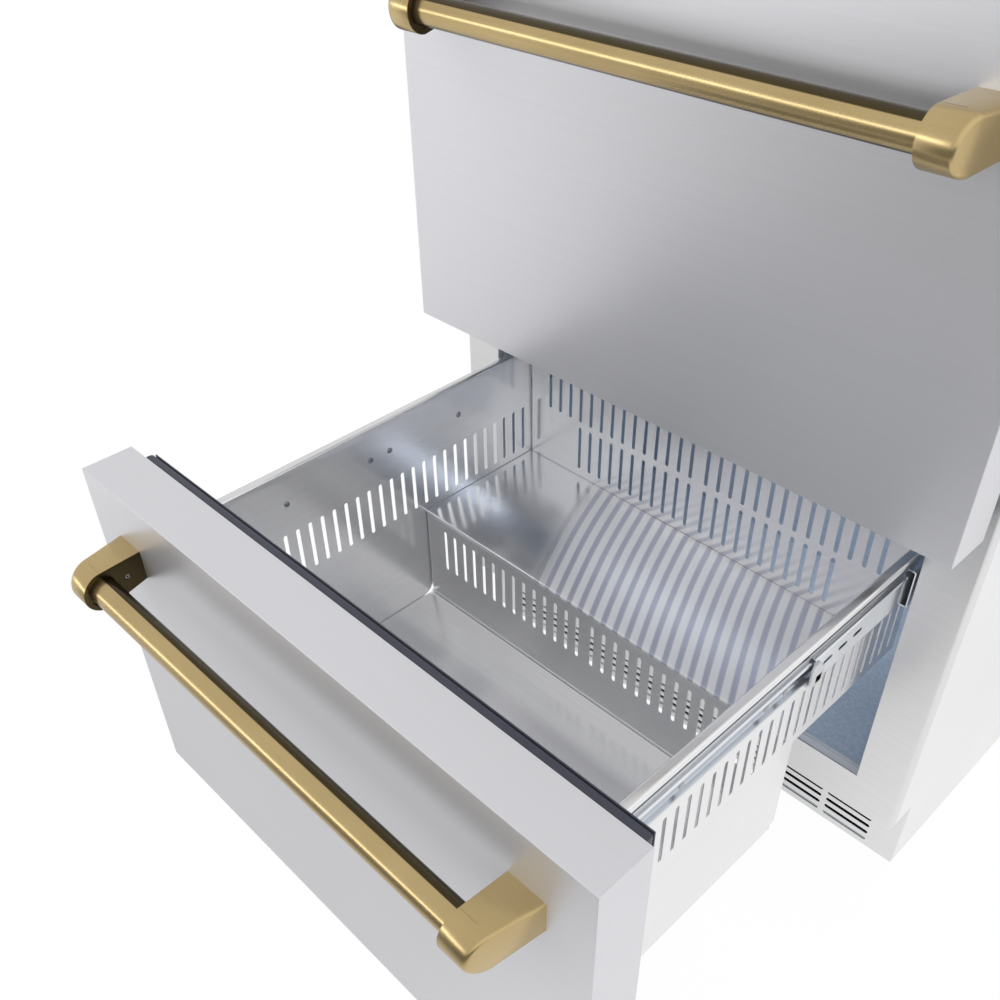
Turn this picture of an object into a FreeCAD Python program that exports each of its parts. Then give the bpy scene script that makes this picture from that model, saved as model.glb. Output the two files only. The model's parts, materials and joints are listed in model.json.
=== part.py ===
import FreeCAD, Part
import math
import os

# Two-drawer undercounter refrigerator, lower drawer open as it stands in a kitchen.
# Millimetres. X is to the right seen from the front, Y runs back into the cabinet,
# Z is up from the floor. Y = 0 is the plane of the cabinet's face, and the middle of
# the cabinet is X = 0. Each drawer is drawn shut and then moved out by its opening.

# Overall cabinet
cabinet_width = 606.0
cabinet_depth = 516.5
foot_height = 12.0
base_height = 96.5
toe_recess = 42.6
face_band = 47.8
sheet = 1.2
rear_sheet = 1.0
frame_return = 12.0
frame_bend_radius = 3.0

# Drawer fronts
front_side_reveal = 3.0
front_height = 377.0
front_depth = 48.2
front_gap = 3.0
front_lap = 4.5
front_skin = 1.0
front_edge_radius = 1.2
seal_gap = 16.7

# Travel of the drawers and how far the lower one stands open
over_travel = 20.0
lower_short_of_full = 26.6
upper_open = 0.0

# Gasket
seal_clearance = 0.3
seal_inset = 10.0
seal_width = 22.0
seal_body_depth = 13.3
seal_groove_depth = 0.9
seal_groove_inset = 3.0
seal_lip_inset = 1.0

# Handle
bar_radius = 12.3
bar_offset = 39.2
bar_drop = 69.3
bar_fit = 0.3
bar_socket_depth = 14.0
nose_radius = 19.0
post_side_inset = 40.0
post_root_width = 34.5
post_inner_lean = 3.5
post_tip_width = 25.5
post_root_below = 11.0
post_edge_radius = 3.2
socket_ring_width = 2.0
socket_ring_depth = 1.5
set_screw_radius = 2.5
set_screw_offset = 16.4
set_screw_length = 6.0
set_screw_recess = 0.8
set_screw_rise = 1.0
post_screw_radius = 2.5
post_screw_length = 14.0
post_screw_rise = 4.7
post_screw_head_radius = 5.0
post_screw_head_height = 3.0
screw_fit = 0.3

# Basket
basket_sheet = 1.0
basket_back_gap = 12.4
basket_rim_drop = 53.3
basket_floor_rise = 69.0
rim_width = 9.5
rim_roll_radius = 3.0
rim_roll_steps = 4
rim_lip_drop = 6.0
step_below_rim = 135.2
step_length = 166.1
side_tail = 3.5
side_corner_radius = 20.0

# Slots in the basket sheets
slot_width = 4.5
side_slot_pitch = 15.05
side_slot_length = 55.2
side_slot_drop = 71.2
side_slot_margin = 13.2
side_slot_front_margin = 80.0
back_slot_pitch = 15.2
back_slot_inner = 10.0
back_upper_length = 54.0
back_upper_drop = 9.7
back_upper_margin = 27.0
back_lower_length = 54.0
back_lower_drop = 70.7
back_lower_margin = 70.0
riser_slot_length = 54.0
riser_slot_drop = 14.5

# Rivets that hold the drawer members to the basket sides
rivet_radius = 3.2
rivet_head = 1.0
rivet_shank_radius = 1.6
rivet_fit = 0.1
rivet_places = (108.1, 212.1, 237.1, 333.1)

# Telescopic slides, all sizes across the slide from the basket side outwards
slide_thickness = 12.7
slide_front_setback = 3.0
slide_rear_gap = 37.0
slide_sheet = 1.2
slide_drop_below_rim = 36.7
inner_start = -4.0
inner_height = 22.0
inner_lip = 6.0
middle_start = 56.4
middle_rear_gap = 3.0
middle_height = 30.4
middle_web_at = 7.2
middle_lip_from = 1.8
outer_height = 40.0
outer_lip_from = 2.2
lip_turn = 1.6
retainer_length = 90.0
retainer_clearance = 0.3
retainer_end_gap = 6.0
retainer_thickness = 2.4
bracket_thickness = 3.6
bracket_height = 30.0
bracket_end_gap = 20.0
catch_length = 18.0
catch_overhang = 4.5
catch_top_rise = 10.0
catch_bridge = 2.6
catch_thickness = 2.2

# Cabinet openings, breaker strips, liners and insulation
mullion_height = 47.0
breaker_depth = 14.0
liner_sheet = 1.5
liner_side_clearance = 0.4
liner_drop = 3.0
upper_back_wall = 54.5
lower_back_wall = 76.5
hump_gap = 13.5
hump_clearance = 12.5
insulation_over_machine = 34.3

# Toe plate louvres
louvre_width = 54.4
louvre_height = 4.0
louvre_pitch_x = 60.7
louvre_pitch_z = 11.0
louvre_end_margin = 30.0
louvre_rows = 5
louvre_first_z = 10.0
toe_return = 3.4
toe_seam = 0.4

# Base pan and feet
pan_sheet = 1.5
pan_flange = 14.0
foot_pad_radius = 18.0
foot_pad_height = 6.0
foot_neck_radius = 11.0
foot_stud_radius = 5.0
foot_stud_fit = 0.3
foot_stud_above = 26.0
foot_side_inset = 38.0
foot_front_inset = 80.0
foot_rear_inset = 36.0

# Rear: grille slots and the holes for an anti-tip bracket
grille_slot_width = 50.0
grille_slot_height = 5.0
grille_pitch_x = 62.0
grille_pitch_z = 14.0
grille_columns = 7
grille_rows = 3
grille_first_z = 90.0
anti_tip_hole_radius = 2.1
anti_tip_spacing_x = 200.0
anti_tip_below_top = 45.0
anti_tip_insert_radius = 4.0
anti_tip_insert_depth = 14.0

# Cooling parts
cover_sheet = 1.2
cover_depth = 26.0
cover_edge_gap = 1.0
cover_slot_length = 70.0
cover_slot_height = 5.0
cover_slot_pitch = 11.0
cover_slot_rows = 6
cover_slot_columns = 2
cover_slot_spread = 92.0
evaporator_width = 260.0
evaporator_height = 190.0
evaporator_plate = 2.0
evaporator_fit = 0.3
evaporator_channel_width = 8.0
evaporator_channel_height = 6.0
evaporator_passes = 7
evaporator_centre_x = -70.0
evaporator_rise = 50.0
fan_radius = 44.0
fan_hub_radius = 14.0
fan_hub_depth = 11.0
fan_root_radius = 8.4
fan_blades = 5
fan_blade_sheet = 1.4
fan_pitch_angle = 32.0
fan_gap = 0.3
evaporator_fan_x = 160.0
motor_radius = 16.0
evaporator_motor_depth = 9.0
compressor_side_gap = 153.0
compressor_radius = 72.0
compressor_height = 150.0
compressor_dome = 32.0
compressor_flats = 20
compressor_foot = 12.0
compressor_plate = 3.0
grommet_radius = 9.0
grommet_overhang = 4.5
condenser_side_gap = 138.0
condenser_width = 190.0
condenser_height = 150.0
condenser_depth = 20.0
condenser_tubes = 12
condenser_tube_height = 2.4
condenser_header_width = 14.0
condenser_back_gap = 40.0
condenser_fan_radius = 62.0
condenser_motor_depth = 40.0
fan_to_condenser = 16.0
motor_stand_width = 24.0
motor_stand_setback = 12.0
motor_stand_bite = 8.0
drain_pan_width = 120.0
drain_pan_height = 20.0
drain_pan_sheet = 1.5

# Small fittings
control_width = 44.0
control_height = 140.0
control_depth = 2.5
control_front = 30.0
control_corner = 6.0
light_length = 300.0
light_width = 12.0
light_depth = 4.0
light_front = 44.0
terminal_width = 60.0
terminal_height = 46.0
terminal_depth = 32.0
terminal_corner = 4.0
terminal_side_inset = 76.0
terminal_drop = 69.0

# Derived levels and places
half_width = cabinet_width / 2
half_front = half_width - front_side_reveal
cabinet_bottom_z = foot_height + base_height
lower_front_z = cabinet_bottom_z + front_lap
upper_front_z = lower_front_z + front_height + front_gap
cabinet_top_z = upper_front_z + front_height
mullion_z = upper_front_z - front_gap / 2
opening_half = half_width - face_band
lower_opening = (cabinet_bottom_z + face_band, mullion_z - mullion_height / 2)
upper_opening = (mullion_z + mullion_height / 2, cabinet_top_z - face_band)
front_face_y = -(seal_gap + front_depth)
liner_half = opening_half + liner_side_clearance
liner_outer_half = liner_half + liner_sheet
slide_outside = liner_half - bracket_thickness
basket_outer_half = slide_outside - slide_thickness
basket_half = basket_outer_half - basket_sheet
upper_liner_depth = cabinet_depth - upper_back_wall
lower_liner_depth = cabinet_depth - lower_back_wall
slide_length = lower_liner_depth - slide_front_setback - slide_rear_gap
drawer_travel = slide_length + over_travel
lower_open = drawer_travel - lower_short_of_full
basket_back_y = lower_liner_depth - basket_back_gap
riser_y = basket_back_y - step_length
hump_front = riser_y + hump_gap
cover_front = upper_liner_depth - cover_depth
post_root_outer = half_front - post_side_inset
post_root_inner = post_root_outer - post_root_width
post_tip_inner = post_root_inner - post_inner_lean
post_tip_outer = post_tip_inner + post_tip_width
machine_y = hump_front + liner_sheet + insulation_over_machine
basket_depth_inside = front_height - basket_rim_drop - basket_floor_rise
step_rise = basket_depth_inside - step_below_rim
hump_top_z = lower_front_z + basket_floor_rise + step_rise - hump_clearance
machine_roof_z = hump_top_z - liner_sheet - insulation_over_machine
shell_inside = half_width - sheet
base_front_y = toe_recess + sheet
compressor_x = compressor_side_gap - half_width
condenser_x = half_width - condenser_side_gap


def vec(x, y, z):
    return FreeCAD.Vector(x, y, z)


def box(x0, x1, y0, y1, z0, z1):
    return Part.makeBox(x1 - x0, y1 - y0, z1 - z0, vec(x0, y0, z0))


def rod(centre, direction, radius, length):
    return Part.makeCylinder(radius, length, vec(*centre), vec(*direction))


def faceted_rod(centre, direction, radius, length, sides=6):
    """A small rod with flats, for fasteners and their holes."""
    turn = FreeCAD.Rotation(vec(0, 0, 1), vec(*direction))
    points = []
    for i in range(sides):
        a = 2 * math.pi * (i + 0.5) / sides
        points.append(turn.multVec(vec(radius * math.cos(a), radius * math.sin(a), 0)) + vec(*centre))
    face = Part.Face(Part.makePolygon(points + [points[0]]))
    return face.extrude(turn.multVec(vec(0, 0, length)))


def mirrored(shape):
    return shape.mirror(vec(0, 0, 0), vec(1, 0, 0))


def both_sides(shape):
    return [shape, mirrored(shape)]


def wire(points):
    return Part.makePolygon([vec(*p) for p in points] + [vec(*points[0])])


def prism(points, direction):
    return Part.Face(wire(points)).extrude(vec(*direction))


def holed_plate(outline, holes, direction):
    face = Part.makeFace([outline] + holes, "Part::FaceMakerBullseye")
    return face.extrude(vec(*direction))


def slot_in_yz(x, y, z_low, width, length):
    y0 = y - width / 2
    y1 = y + width / 2
    z1 = z_low + length
    return wire([(x, y0, z_low), (x, y1, z_low), (x, y1, z1), (x, y0, z1)])


def slot_in_xz(y, x, z_low, width, length):
    x0 = x - width / 2
    x1 = x + width / 2
    z1 = z_low + length
    return wire([(x0, y, z_low), (x1, y, z_low), (x1, y, z1), (x0, y, z1)])


def rectangle_xz(y, x0, x1, z0, z1):
    return wire([(x0, y, z0), (x1, y, z0), (x1, y, z1), (x0, y, z1)])


def how_many(room, pitch):
    return int(room / pitch) + 1


def spread(count, pitch):
    return [(i - (count - 1) / 2) * pitch for i in range(count)]


# Cabinet shell

def face_frame():
    outer = box(-half_width, half_width, 0, frame_return, cabinet_bottom_z, cabinet_top_z)
    corners = [
        e for e in outer.Edges
        if abs(e.BoundBox.YMax) < 0.01 and e.BoundBox.ZLength > front_height
    ]
    outer = outer.makeFillet(frame_bend_radius, corners)
    inner = box(
        -shell_inside, shell_inside, sheet, frame_return + sheet,
        cabinet_bottom_z + sheet, cabinet_top_z - sheet,
    )
    frame = outer.cut(inner)
    for z0, z1 in (lower_opening, upper_opening):
        frame = frame.cut(box(-opening_half, opening_half, -sheet, sheet * 2, z0, z1))
    return frame


def side_panel():
    outline = [
        (shell_inside, frame_return, cabinet_bottom_z),
        (shell_inside, toe_recess + toe_return + toe_seam, cabinet_bottom_z),
        (shell_inside, toe_recess + toe_return + toe_seam, foot_height),
        (shell_inside, cabinet_depth, foot_height),
        (shell_inside, cabinet_depth, cabinet_top_z),
        (shell_inside, frame_return, cabinet_top_z),
    ]
    return prism(outline, (sheet, 0, 0))


def top_panel():
    return box(
        -shell_inside, shell_inside, frame_return, cabinet_depth,
        cabinet_top_z - sheet, cabinet_top_z,
    )


def anti_tip_places():
    z = cabinet_top_z - anti_tip_below_top
    return [(side * anti_tip_spacing_x / 2, z) for side in (-1, 1)]


def rear_panel():
    panel = box(
        -shell_inside, shell_inside, cabinet_depth - rear_sheet, cabinet_depth,
        machine_roof_z, cabinet_top_z - sheet,
    )
    for x, z in anti_tip_places():
        start = (x, cabinet_depth - anti_tip_insert_depth, z)
        depth = anti_tip_insert_depth - rear_sheet
        panel = panel.fuse(faceted_rod(start, (0, 1, 0), anti_tip_insert_radius, depth))
        panel = panel.cut(rod(start, (0, 1, 0), anti_tip_hole_radius, anti_tip_insert_depth))
    return panel.removeSplitter()


def rear_grille():
    y = cabinet_depth - rear_sheet
    outline = rectangle_xz(y, -shell_inside, shell_inside, foot_height + pan_sheet, machine_roof_z)
    holes = []
    for x in spread(grille_columns, grille_pitch_x):
        for row in range(grille_rows):
            z = grille_first_z + row * grille_pitch_z
            holes.append(slot_in_xz(y, x, z, grille_slot_width, grille_slot_height))
    return holed_plate(outline, holes, (0, rear_sheet, 0))


def cabinet_bottom():
    low = cabinet_bottom_z
    roof = machine_roof_z
    rear = cabinet_depth - rear_sheet
    outline = [
        (-shell_inside, frame_return, low),
        (-shell_inside, machine_y + sheet, low),
        (-shell_inside, machine_y + sheet, roof - sheet),
        (-shell_inside, rear, roof - sheet),
        (-shell_inside, rear, roof),
        (-shell_inside, machine_y, roof),
        (-shell_inside, machine_y, low + sheet),
        (-shell_inside, frame_return, low + sheet),
    ]
    return prism(outline, (2 * shell_inside, 0, 0))


def base_pan():
    rear = cabinet_depth - rear_sheet
    tray = box(
        -shell_inside, shell_inside, base_front_y, rear,
        foot_height, foot_height + pan_sheet + pan_flange,
    )
    hollow = box(
        -shell_inside + pan_sheet, shell_inside - pan_sheet,
        base_front_y + pan_sheet, rear - pan_sheet,
        foot_height + pan_sheet, foot_height + pan_sheet + 2 * pan_flange,
    )
    pan = tray.cut(hollow)
    pan = pan.cut(box(
        -shell_inside, shell_inside, rear - pan_sheet, rear,
        foot_height + pan_sheet, foot_height + pan_sheet + 2 * pan_flange,
    ))
    for x, y in foot_places():
        hole = foot_stud_radius + foot_stud_fit
        pan = pan.cut(faceted_rod((x, y, 0), (0, 0, 1), hole, foot_height + pan_sheet))
    return pan


def toe_kick_grille():
    outer = box(
        -half_width, half_width, toe_recess, toe_recess + toe_return,
        foot_height, cabinet_bottom_z,
    )
    inner = box(
        -shell_inside, shell_inside, base_front_y, toe_recess + 2 * toe_return,
        foot_height, cabinet_bottom_z,
    )
    plate = outer.cut(inner)
    cutters = []
    columns = how_many(2 * (shell_inside - louvre_end_margin) - louvre_width, louvre_pitch_x)
    for x in spread(columns, louvre_pitch_x):
        for row in range(louvre_rows):
            z = foot_height + louvre_first_z + row * louvre_pitch_z - louvre_height / 2
            cutters.append(box(
                x - louvre_width / 2, x + louvre_width / 2,
                toe_recess - sheet, base_front_y + sheet,
                z, z + louvre_height,
            ))
    return plate.cut(Part.makeCompound(cutters))


def foot_places():
    x = half_width - foot_side_inset
    ys = (foot_front_inset, cabinet_depth - foot_rear_inset)
    return [(side * x, y) for side in (-1, 1) for y in ys]


def leveling_feet():
    feet = []
    for x, y in foot_places():
        foot = faceted_rod((x, y, 0), (0, 0, 1), foot_pad_radius, foot_pad_height, 12)
        foot = foot.fuse(faceted_rod((x, y, 0), (0, 0, 1), foot_neck_radius, foot_height))
        stud = faceted_rod((x, y, 0), (0, 0, 1), foot_stud_radius, foot_height + foot_stud_above)
        feet.append(foot.fuse(stud).removeSplitter())
    return feet


# Inside of the cabinet

def liner_upper():
    z0 = upper_opening[0] - liner_drop
    z1 = upper_opening[1] + liner_drop
    inner = box(-liner_half, liner_half, 0, upper_liner_depth, z0, z1)
    outer = box(
        -liner_outer_half, liner_outer_half, breaker_depth, upper_liner_depth + liner_sheet,
        z0 - liner_sheet, z1 + liner_sheet,
    )
    return outer.cut(inner)


def liner_lower():
    z0 = lower_opening[0] - liner_drop
    z1 = lower_opening[1] + liner_drop
    t = liner_sheet
    back = lower_liner_depth
    inner = [
        (-liner_half, 0, z0), (-liner_half, hump_front, z0),
        (-liner_half, hump_front, hump_top_z), (-liner_half, back, hump_top_z),
        (-liner_half, back, z1), (-liner_half, 0, z1),
    ]
    outer = [
        (-liner_outer_half, breaker_depth, z0 - t), (-liner_outer_half, hump_front + t, z0 - t),
        (-liner_outer_half, hump_front + t, hump_top_z - t),
        (-liner_outer_half, back + t, hump_top_z - t),
        (-liner_outer_half, back + t, z1 + t), (-liner_outer_half, breaker_depth, z1 + t),
    ]
    hollow = prism(inner, (2 * liner_half, 0, 0))
    return prism(outer, (2 * liner_outer_half, 0, 0)).cut(hollow)


def breaker_frames():
    frames = []
    for z0, z1 in (lower_opening, upper_opening):
        edge = liner_drop + liner_sheet
        outer = box(
            -liner_outer_half, liner_outer_half, sheet, breaker_depth, z0 - edge, z1 + edge,
        )
        inner = box(-opening_half, opening_half, 0, 2 * breaker_depth, z0, z1)
        frames.append(outer.cut(inner))
    return frames


def insulation_boards():
    rear = cabinet_depth - rear_sheet
    roof = machine_roof_z
    low = cabinet_bottom_z + sheet
    high = cabinet_top_z - sheet
    edge = liner_drop + liner_sheet
    lower_floor = lower_opening[0] - edge
    lower_ceiling = lower_opening[1] + edge
    upper_floor = upper_opening[0] - edge
    upper_ceiling = upper_opening[1] + edge
    upper_back = upper_liner_depth + liner_sheet
    lower_back = lower_liner_depth + liner_sheet
    hump_under = hump_top_z - liner_sheet
    hump_back = hump_front + liner_sheet
    w = liner_outer_half
    boards = []
    boards += both_sides(box(w, shell_inside, sheet, machine_y, low, high))
    boards += both_sides(box(w, shell_inside, machine_y, rear, roof, high))
    boards.append(box(-w, w, sheet, rear, upper_ceiling, high))
    boards.append(box(-w, w, sheet, upper_back, lower_ceiling, upper_floor))
    boards.append(box(-w, w, sheet, machine_y, low, lower_floor))
    boards.append(box(-w, w, hump_back, machine_y, lower_floor, hump_under))
    boards.append(box(-w, w, machine_y, rear, roof, hump_under))
    boards.append(box(-w, w, upper_back, rear, lower_ceiling, upper_ceiling))
    boards.append(box(-w, w, lower_back, rear, hump_under, lower_ceiling))
    pocket = anti_tip_insert_radius + screw_fit
    reach = anti_tip_insert_depth + screw_fit
    cutters = Part.makeCompound([
        faceted_rod((x, cabinet_depth - reach, z), (0, 1, 0), pocket, reach)
        for x, z in anti_tip_places()
    ])
    return [solid for board in boards for solid in board.cut(cutters).Solids]


def evaporator_cover():
    z0 = upper_opening[0] - liner_drop + cover_edge_gap
    z1 = upper_opening[1] + liner_drop - cover_edge_gap
    half = liner_half - cover_edge_gap
    outer = box(-half, half, cover_front, upper_liner_depth, z0, z1)
    hollow = box(
        -half + cover_sheet, half - cover_sheet, cover_front + cover_sheet,
        upper_liner_depth + cover_sheet, z0 + cover_sheet, z1 - cover_sheet,
    )
    cutters = []
    for x in spread(cover_slot_columns, cover_slot_spread):
        for row in spread(cover_slot_rows, cover_slot_pitch):
            z = (z0 + z1) / 2 + row
            cutters.append(box(
                evaporator_fan_x / 2 + x - cover_slot_length / 2,
                evaporator_fan_x / 2 + x + cover_slot_length / 2,
                cover_front - cover_sheet, cover_front + 2 * cover_sheet,
                z - cover_slot_height / 2, z + cover_slot_height / 2,
            ))
    return outer.cut(hollow).cut(Part.makeCompound(cutters))


def evaporator():
    x0 = evaporator_centre_x - evaporator_width / 2
    x1 = evaporator_centre_x + evaporator_width / 2
    z0 = upper_opening[0] + evaporator_rise
    back = upper_liner_depth - evaporator_fit
    front = back - evaporator_plate
    plate = box(x0, x1, front, back, z0, z0 + evaporator_height)
    w = evaporator_channel_width
    pitch = (evaporator_height - 2 * w) / evaporator_passes
    ridges = []
    for i in range(evaporator_passes + 1):
        z = z0 + w / 2 + i * pitch
        ridges.append(box(x0 + w, x1 - w, front - evaporator_channel_height, front, z, z + w))
    for i in range(evaporator_passes):
        z = z0 + w / 2 + i * pitch
        x = x1 - 2 * w if i % 2 == 0 else x0 + w
        ridges.append(box(x, x + w, front - evaporator_channel_height, front, z, z + pitch + w))
    return plate.multiFuse(ridges).removeSplitter()


def axial_fan(x, z, hub_front, radius):
    """Flat pitched blades, wider toward the tip, on a faceted hub."""
    middle = hub_front + fan_hub_depth / 2
    hub = faceted_rod((0, hub_front, 0), (0, 1, 0), fan_hub_radius, fan_hub_depth, 2 * fan_blades)
    t = fan_blade_sheet / 2
    root = fan_root_radius
    half_root = fan_hub_depth / 2
    half_tip = fan_hub_depth
    outline = [
        (root, middle - t, -half_root), (radius, middle - t, -half_tip),
        (radius, middle - t, half_tip), (root, middle - t, half_root),
    ]
    blade = prism(outline, (0, 2 * t, 0))
    blade.rotate(vec(0, middle, 0), vec(1, 0, 0), fan_pitch_angle)
    blades = []
    for i in range(fan_blades):
        copy = blade.copy()
        copy.rotate(vec(0, middle, 0), vec(0, 1, 0), 360.0 * i / fan_blades)
        blades.append(copy)
    fan = hub.multiFuse(blades)
    fan.translate(vec(x, 0, z))
    return fan


def evaporator_fan_z():
    return (upper_opening[0] + upper_opening[1]) / 2


def evaporator_fan_front():
    return upper_liner_depth - evaporator_motor_depth - fan_gap - fan_hub_depth


def condenser_front():
    return cabinet_depth - rear_sheet - condenser_back_gap - condenser_depth


def condenser_fan_z():
    return foot_height + pan_sheet + condenser_height / 2


def condenser_fan_front():
    return condenser_front() - fan_to_condenser - fan_hub_depth


def evaporator_fan():
    return axial_fan(evaporator_fan_x, evaporator_fan_z(), evaporator_fan_front(), fan_radius)


def condenser_fan():
    return axial_fan(condenser_x, condenser_fan_z(), condenser_fan_front(), condenser_fan_radius)


def fan_motors():
    small = rod(
        (evaporator_fan_x, upper_liner_depth - evaporator_motor_depth, evaporator_fan_z()),
        (0, 1, 0), motor_radius, evaporator_motor_depth,
    )
    rear = condenser_fan_front() - fan_gap
    front = rear - condenser_motor_depth
    large = rod((condenser_x, front, condenser_fan_z()), (0, 1, 0), motor_radius, condenser_motor_depth)
    stand = box(
        condenser_x - motor_stand_width / 2, condenser_x + motor_stand_width / 2,
        front, rear - motor_stand_setback,
        foot_height + pan_sheet, condenser_fan_z() - motor_stand_bite,
    )
    return [small, large.fuse(stand)]


def compressor():
    x = compressor_x
    y = (machine_y + cabinet_depth) / 2 + compressor_foot
    z = foot_height + pan_sheet + compressor_foot
    r = compressor_radius
    low = z + compressor_plate
    top = low + compressor_height
    pot = faceted_rod((x, y, low), (0, 0, 1), r, compressor_height, compressor_flats)
    rim = [e for e in pot.Edges if e.BoundBox.ZMin > top - 1]
    pot = pot.makeChamfer(compressor_dome, rim)
    reach = r + grommet_overhang
    plate = box(x - reach, x + reach, y - reach, y + reach, z, low)
    body = pot.fuse(plate)
    for sx in (-1, 1):
        for sy in (-1, 1):
            place = (x + sx * (r - grommet_overhang), y + sy * (r - grommet_overhang))
            low_end = (place[0], place[1], z - compressor_foot)
            body = body.fuse(faceted_rod(low_end, (0, 0, 1), grommet_radius, compressor_foot))
    return body


def drain_pan():
    x = compressor_x
    y = (machine_y + cabinet_depth) / 2 + compressor_foot
    z = foot_height + pan_sheet + compressor_foot + compressor_plate + compressor_height
    w = drain_pan_width / 2
    t = drain_pan_sheet
    outer = box(x - w, x + w, y - w, y + w, z, z + drain_pan_height)
    inner = box(x - w + t, x + w - t, y - w + t, y + w - t, z + t, z + 2 * drain_pan_height)
    return outer.cut(inner)


def condenser():
    y0 = condenser_front()
    y1 = y0 + condenser_depth
    z0 = foot_height + pan_sheet
    left = condenser_x - condenser_width / 2
    right = condenser_x + condenser_width / 2
    half = condenser_header_width / 2
    parts = [
        box(x - half, x + half, y0, y1, z0, z0 + condenser_height) for x in (left, right)
    ]
    pitch = condenser_height / (condenser_tubes + 1)
    for i in range(condenser_tubes):
        z = z0 + (i + 1) * pitch - condenser_tube_height / 2
        parts.append(box(
            left, right, y0 + sheet, y1 - sheet, z, z + condenser_tube_height,
        ))
    return parts[0].multiFuse(parts[1:])


def control_panel():
    z = (upper_opening[0] + upper_opening[1]) / 2 - control_height / 2
    panel = box(
        liner_half - control_depth, liner_half,
        control_front, control_front + control_width, z, z + control_height,
    )
    corners = [e for e in panel.Edges if e.BoundBox.XLength > control_depth / 2]
    return panel.makeFillet(control_corner, corners)


def led_lights():
    strips = []
    for _, z1 in (lower_opening, upper_opening):
        top = z1 + liner_drop
        strips.append(box(
            -light_length / 2, light_length / 2, light_front, light_front + light_width,
            top - light_depth, top,
        ))
    return strips


def terminal_box():
    x = half_width - terminal_side_inset
    z = machine_roof_z - sheet - terminal_drop
    rear = cabinet_depth - rear_sheet
    body = box(
        x - terminal_width / 2, x + terminal_width / 2, rear - terminal_depth, rear,
        z, z + terminal_height,
    )
    edges = [e for e in body.Edges if e.BoundBox.YLength > terminal_depth / 2]
    return body.makeFillet(terminal_corner, edges)


# Telescopic slides

def channel(height, web_at, lip_from, y0, y1, z):
    """A channel that opens toward the basket, with turned edges that run the balls."""
    base = basket_outer_half
    h = height / 2
    t = slide_sheet
    back = base + web_at + t
    tip = base + lip_from
    turn = lip_turn
    outline = [
        (back, y0, z - h), (back, y0, z + h), (tip, y0, z + h), (tip, y0, z + h - t - turn),
        (tip + t, y0, z + h - t - turn), (tip + t, y0, z + h - t), (back - t, y0, z + h - t),
        (back - t, y0, z - h + t), (tip + t, y0, z - h + t), (tip + t, y0, z - h + t + turn),
        (tip, y0, z - h + t + turn), (tip, y0, z - h),
    ]
    return prism(outline, (0, y1 - y0, 0))


def slide_level(front_z):
    return front_z + front_height - basket_rim_drop - slide_drop_below_rim


def slide_outer():
    members = []
    for front_z in (lower_front_z, upper_front_z):
        member = channel(
            outer_height, slide_thickness - slide_sheet, outer_lip_from,
            slide_front_setback, slide_front_setback + slide_length, slide_level(front_z),
        )
        members += both_sides(member)
    return members


def slide_brackets():
    rails = []
    for front_z in (lower_front_z, upper_front_z):
        z = slide_level(front_z)
        rail = box(
            slide_outside, liner_half,
            slide_front_setback + bracket_end_gap,
            slide_front_setback + slide_length - bracket_end_gap,
            z - bracket_height / 2, z + bracket_height / 2,
        )
        rails += both_sides(rail)
    return rails


def slide_middle(front_z):
    member = channel(
        middle_height, middle_web_at, middle_lip_from,
        middle_start, slide_front_setback + slide_length - middle_rear_gap,
        slide_level(front_z),
    )
    return both_sides(member)


def slide_inner(front_z):
    base = basket_outer_half
    h = inner_height / 2
    t = slide_sheet
    z = slide_level(front_z)
    y0 = inner_start
    tip = base + inner_lip
    outline = [
        (base, y0, z - h), (base, y0, z + h), (tip, y0, z + h), (tip, y0, z + h - t),
        (base + t, y0, z + h - t), (base + t, y0, z - h + t), (tip, y0, z - h + t),
        (tip, y0, z - h),
    ]
    member = prism(outline, (0, slide_length, 0))
    for y in rivet_places:
        hole = rivet_shank_radius + rivet_fit
        member = member.cut(faceted_rod((base - t, y - seal_gap, z), (1, 0, 0), hole, 3 * t))
    return both_sides(member)


def ball_retainers(front_z):
    """Retainer strips in the races: outer ones at the rear, inner ones at the front."""
    z = slide_level(front_z)
    base = basket_outer_half
    strips = []
    middle_top = middle_height / 2
    outer_race = outer_height / 2 - slide_sheet - retainer_clearance
    inner_race = middle_height / 2 - slide_sheet
    x0 = base + outer_lip_from + slide_sheet + retainer_clearance
    rear = slide_front_setback + slide_length - retainer_end_gap
    front = middle_start + retainer_end_gap
    for side in (-1, 1):
        outer = sorted((z + side * middle_top, z + side * outer_race))
        strips.append(box(x0, x0 + retainer_thickness, rear - retainer_length, rear, *outer))
        inner_edge = inner_height / 2 + retainer_clearance
        inner = sorted((z + side * inner_edge, z + side * inner_race))
        xi = base + inner_lip - retainer_thickness
        strips.append(box(xi, xi + retainer_thickness, front, front + retainer_length, *inner))
    return [s for strip in strips for s in both_sides(strip)]


def slide_catches(front_z):
    """White moulded catch that hooks round the front end of each middle member."""
    z = slide_level(front_z)
    base = basket_outer_half
    h = middle_height / 2
    x0 = base + middle_web_at + slide_sheet
    y0 = middle_start - catch_overhang
    pad = box(x0, x0 + catch_thickness, y0, y0 + catch_length, z - h, z + catch_top_rise)
    lug = box(
        x0 - slide_sheet - catch_bridge, x0, y0, middle_start - retainer_clearance,
        z - h + slide_sheet, z - inner_height / 2 - retainer_clearance,
    )
    return both_sides(pad.fuse(lug))


# Drawers, drawn shut

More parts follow.
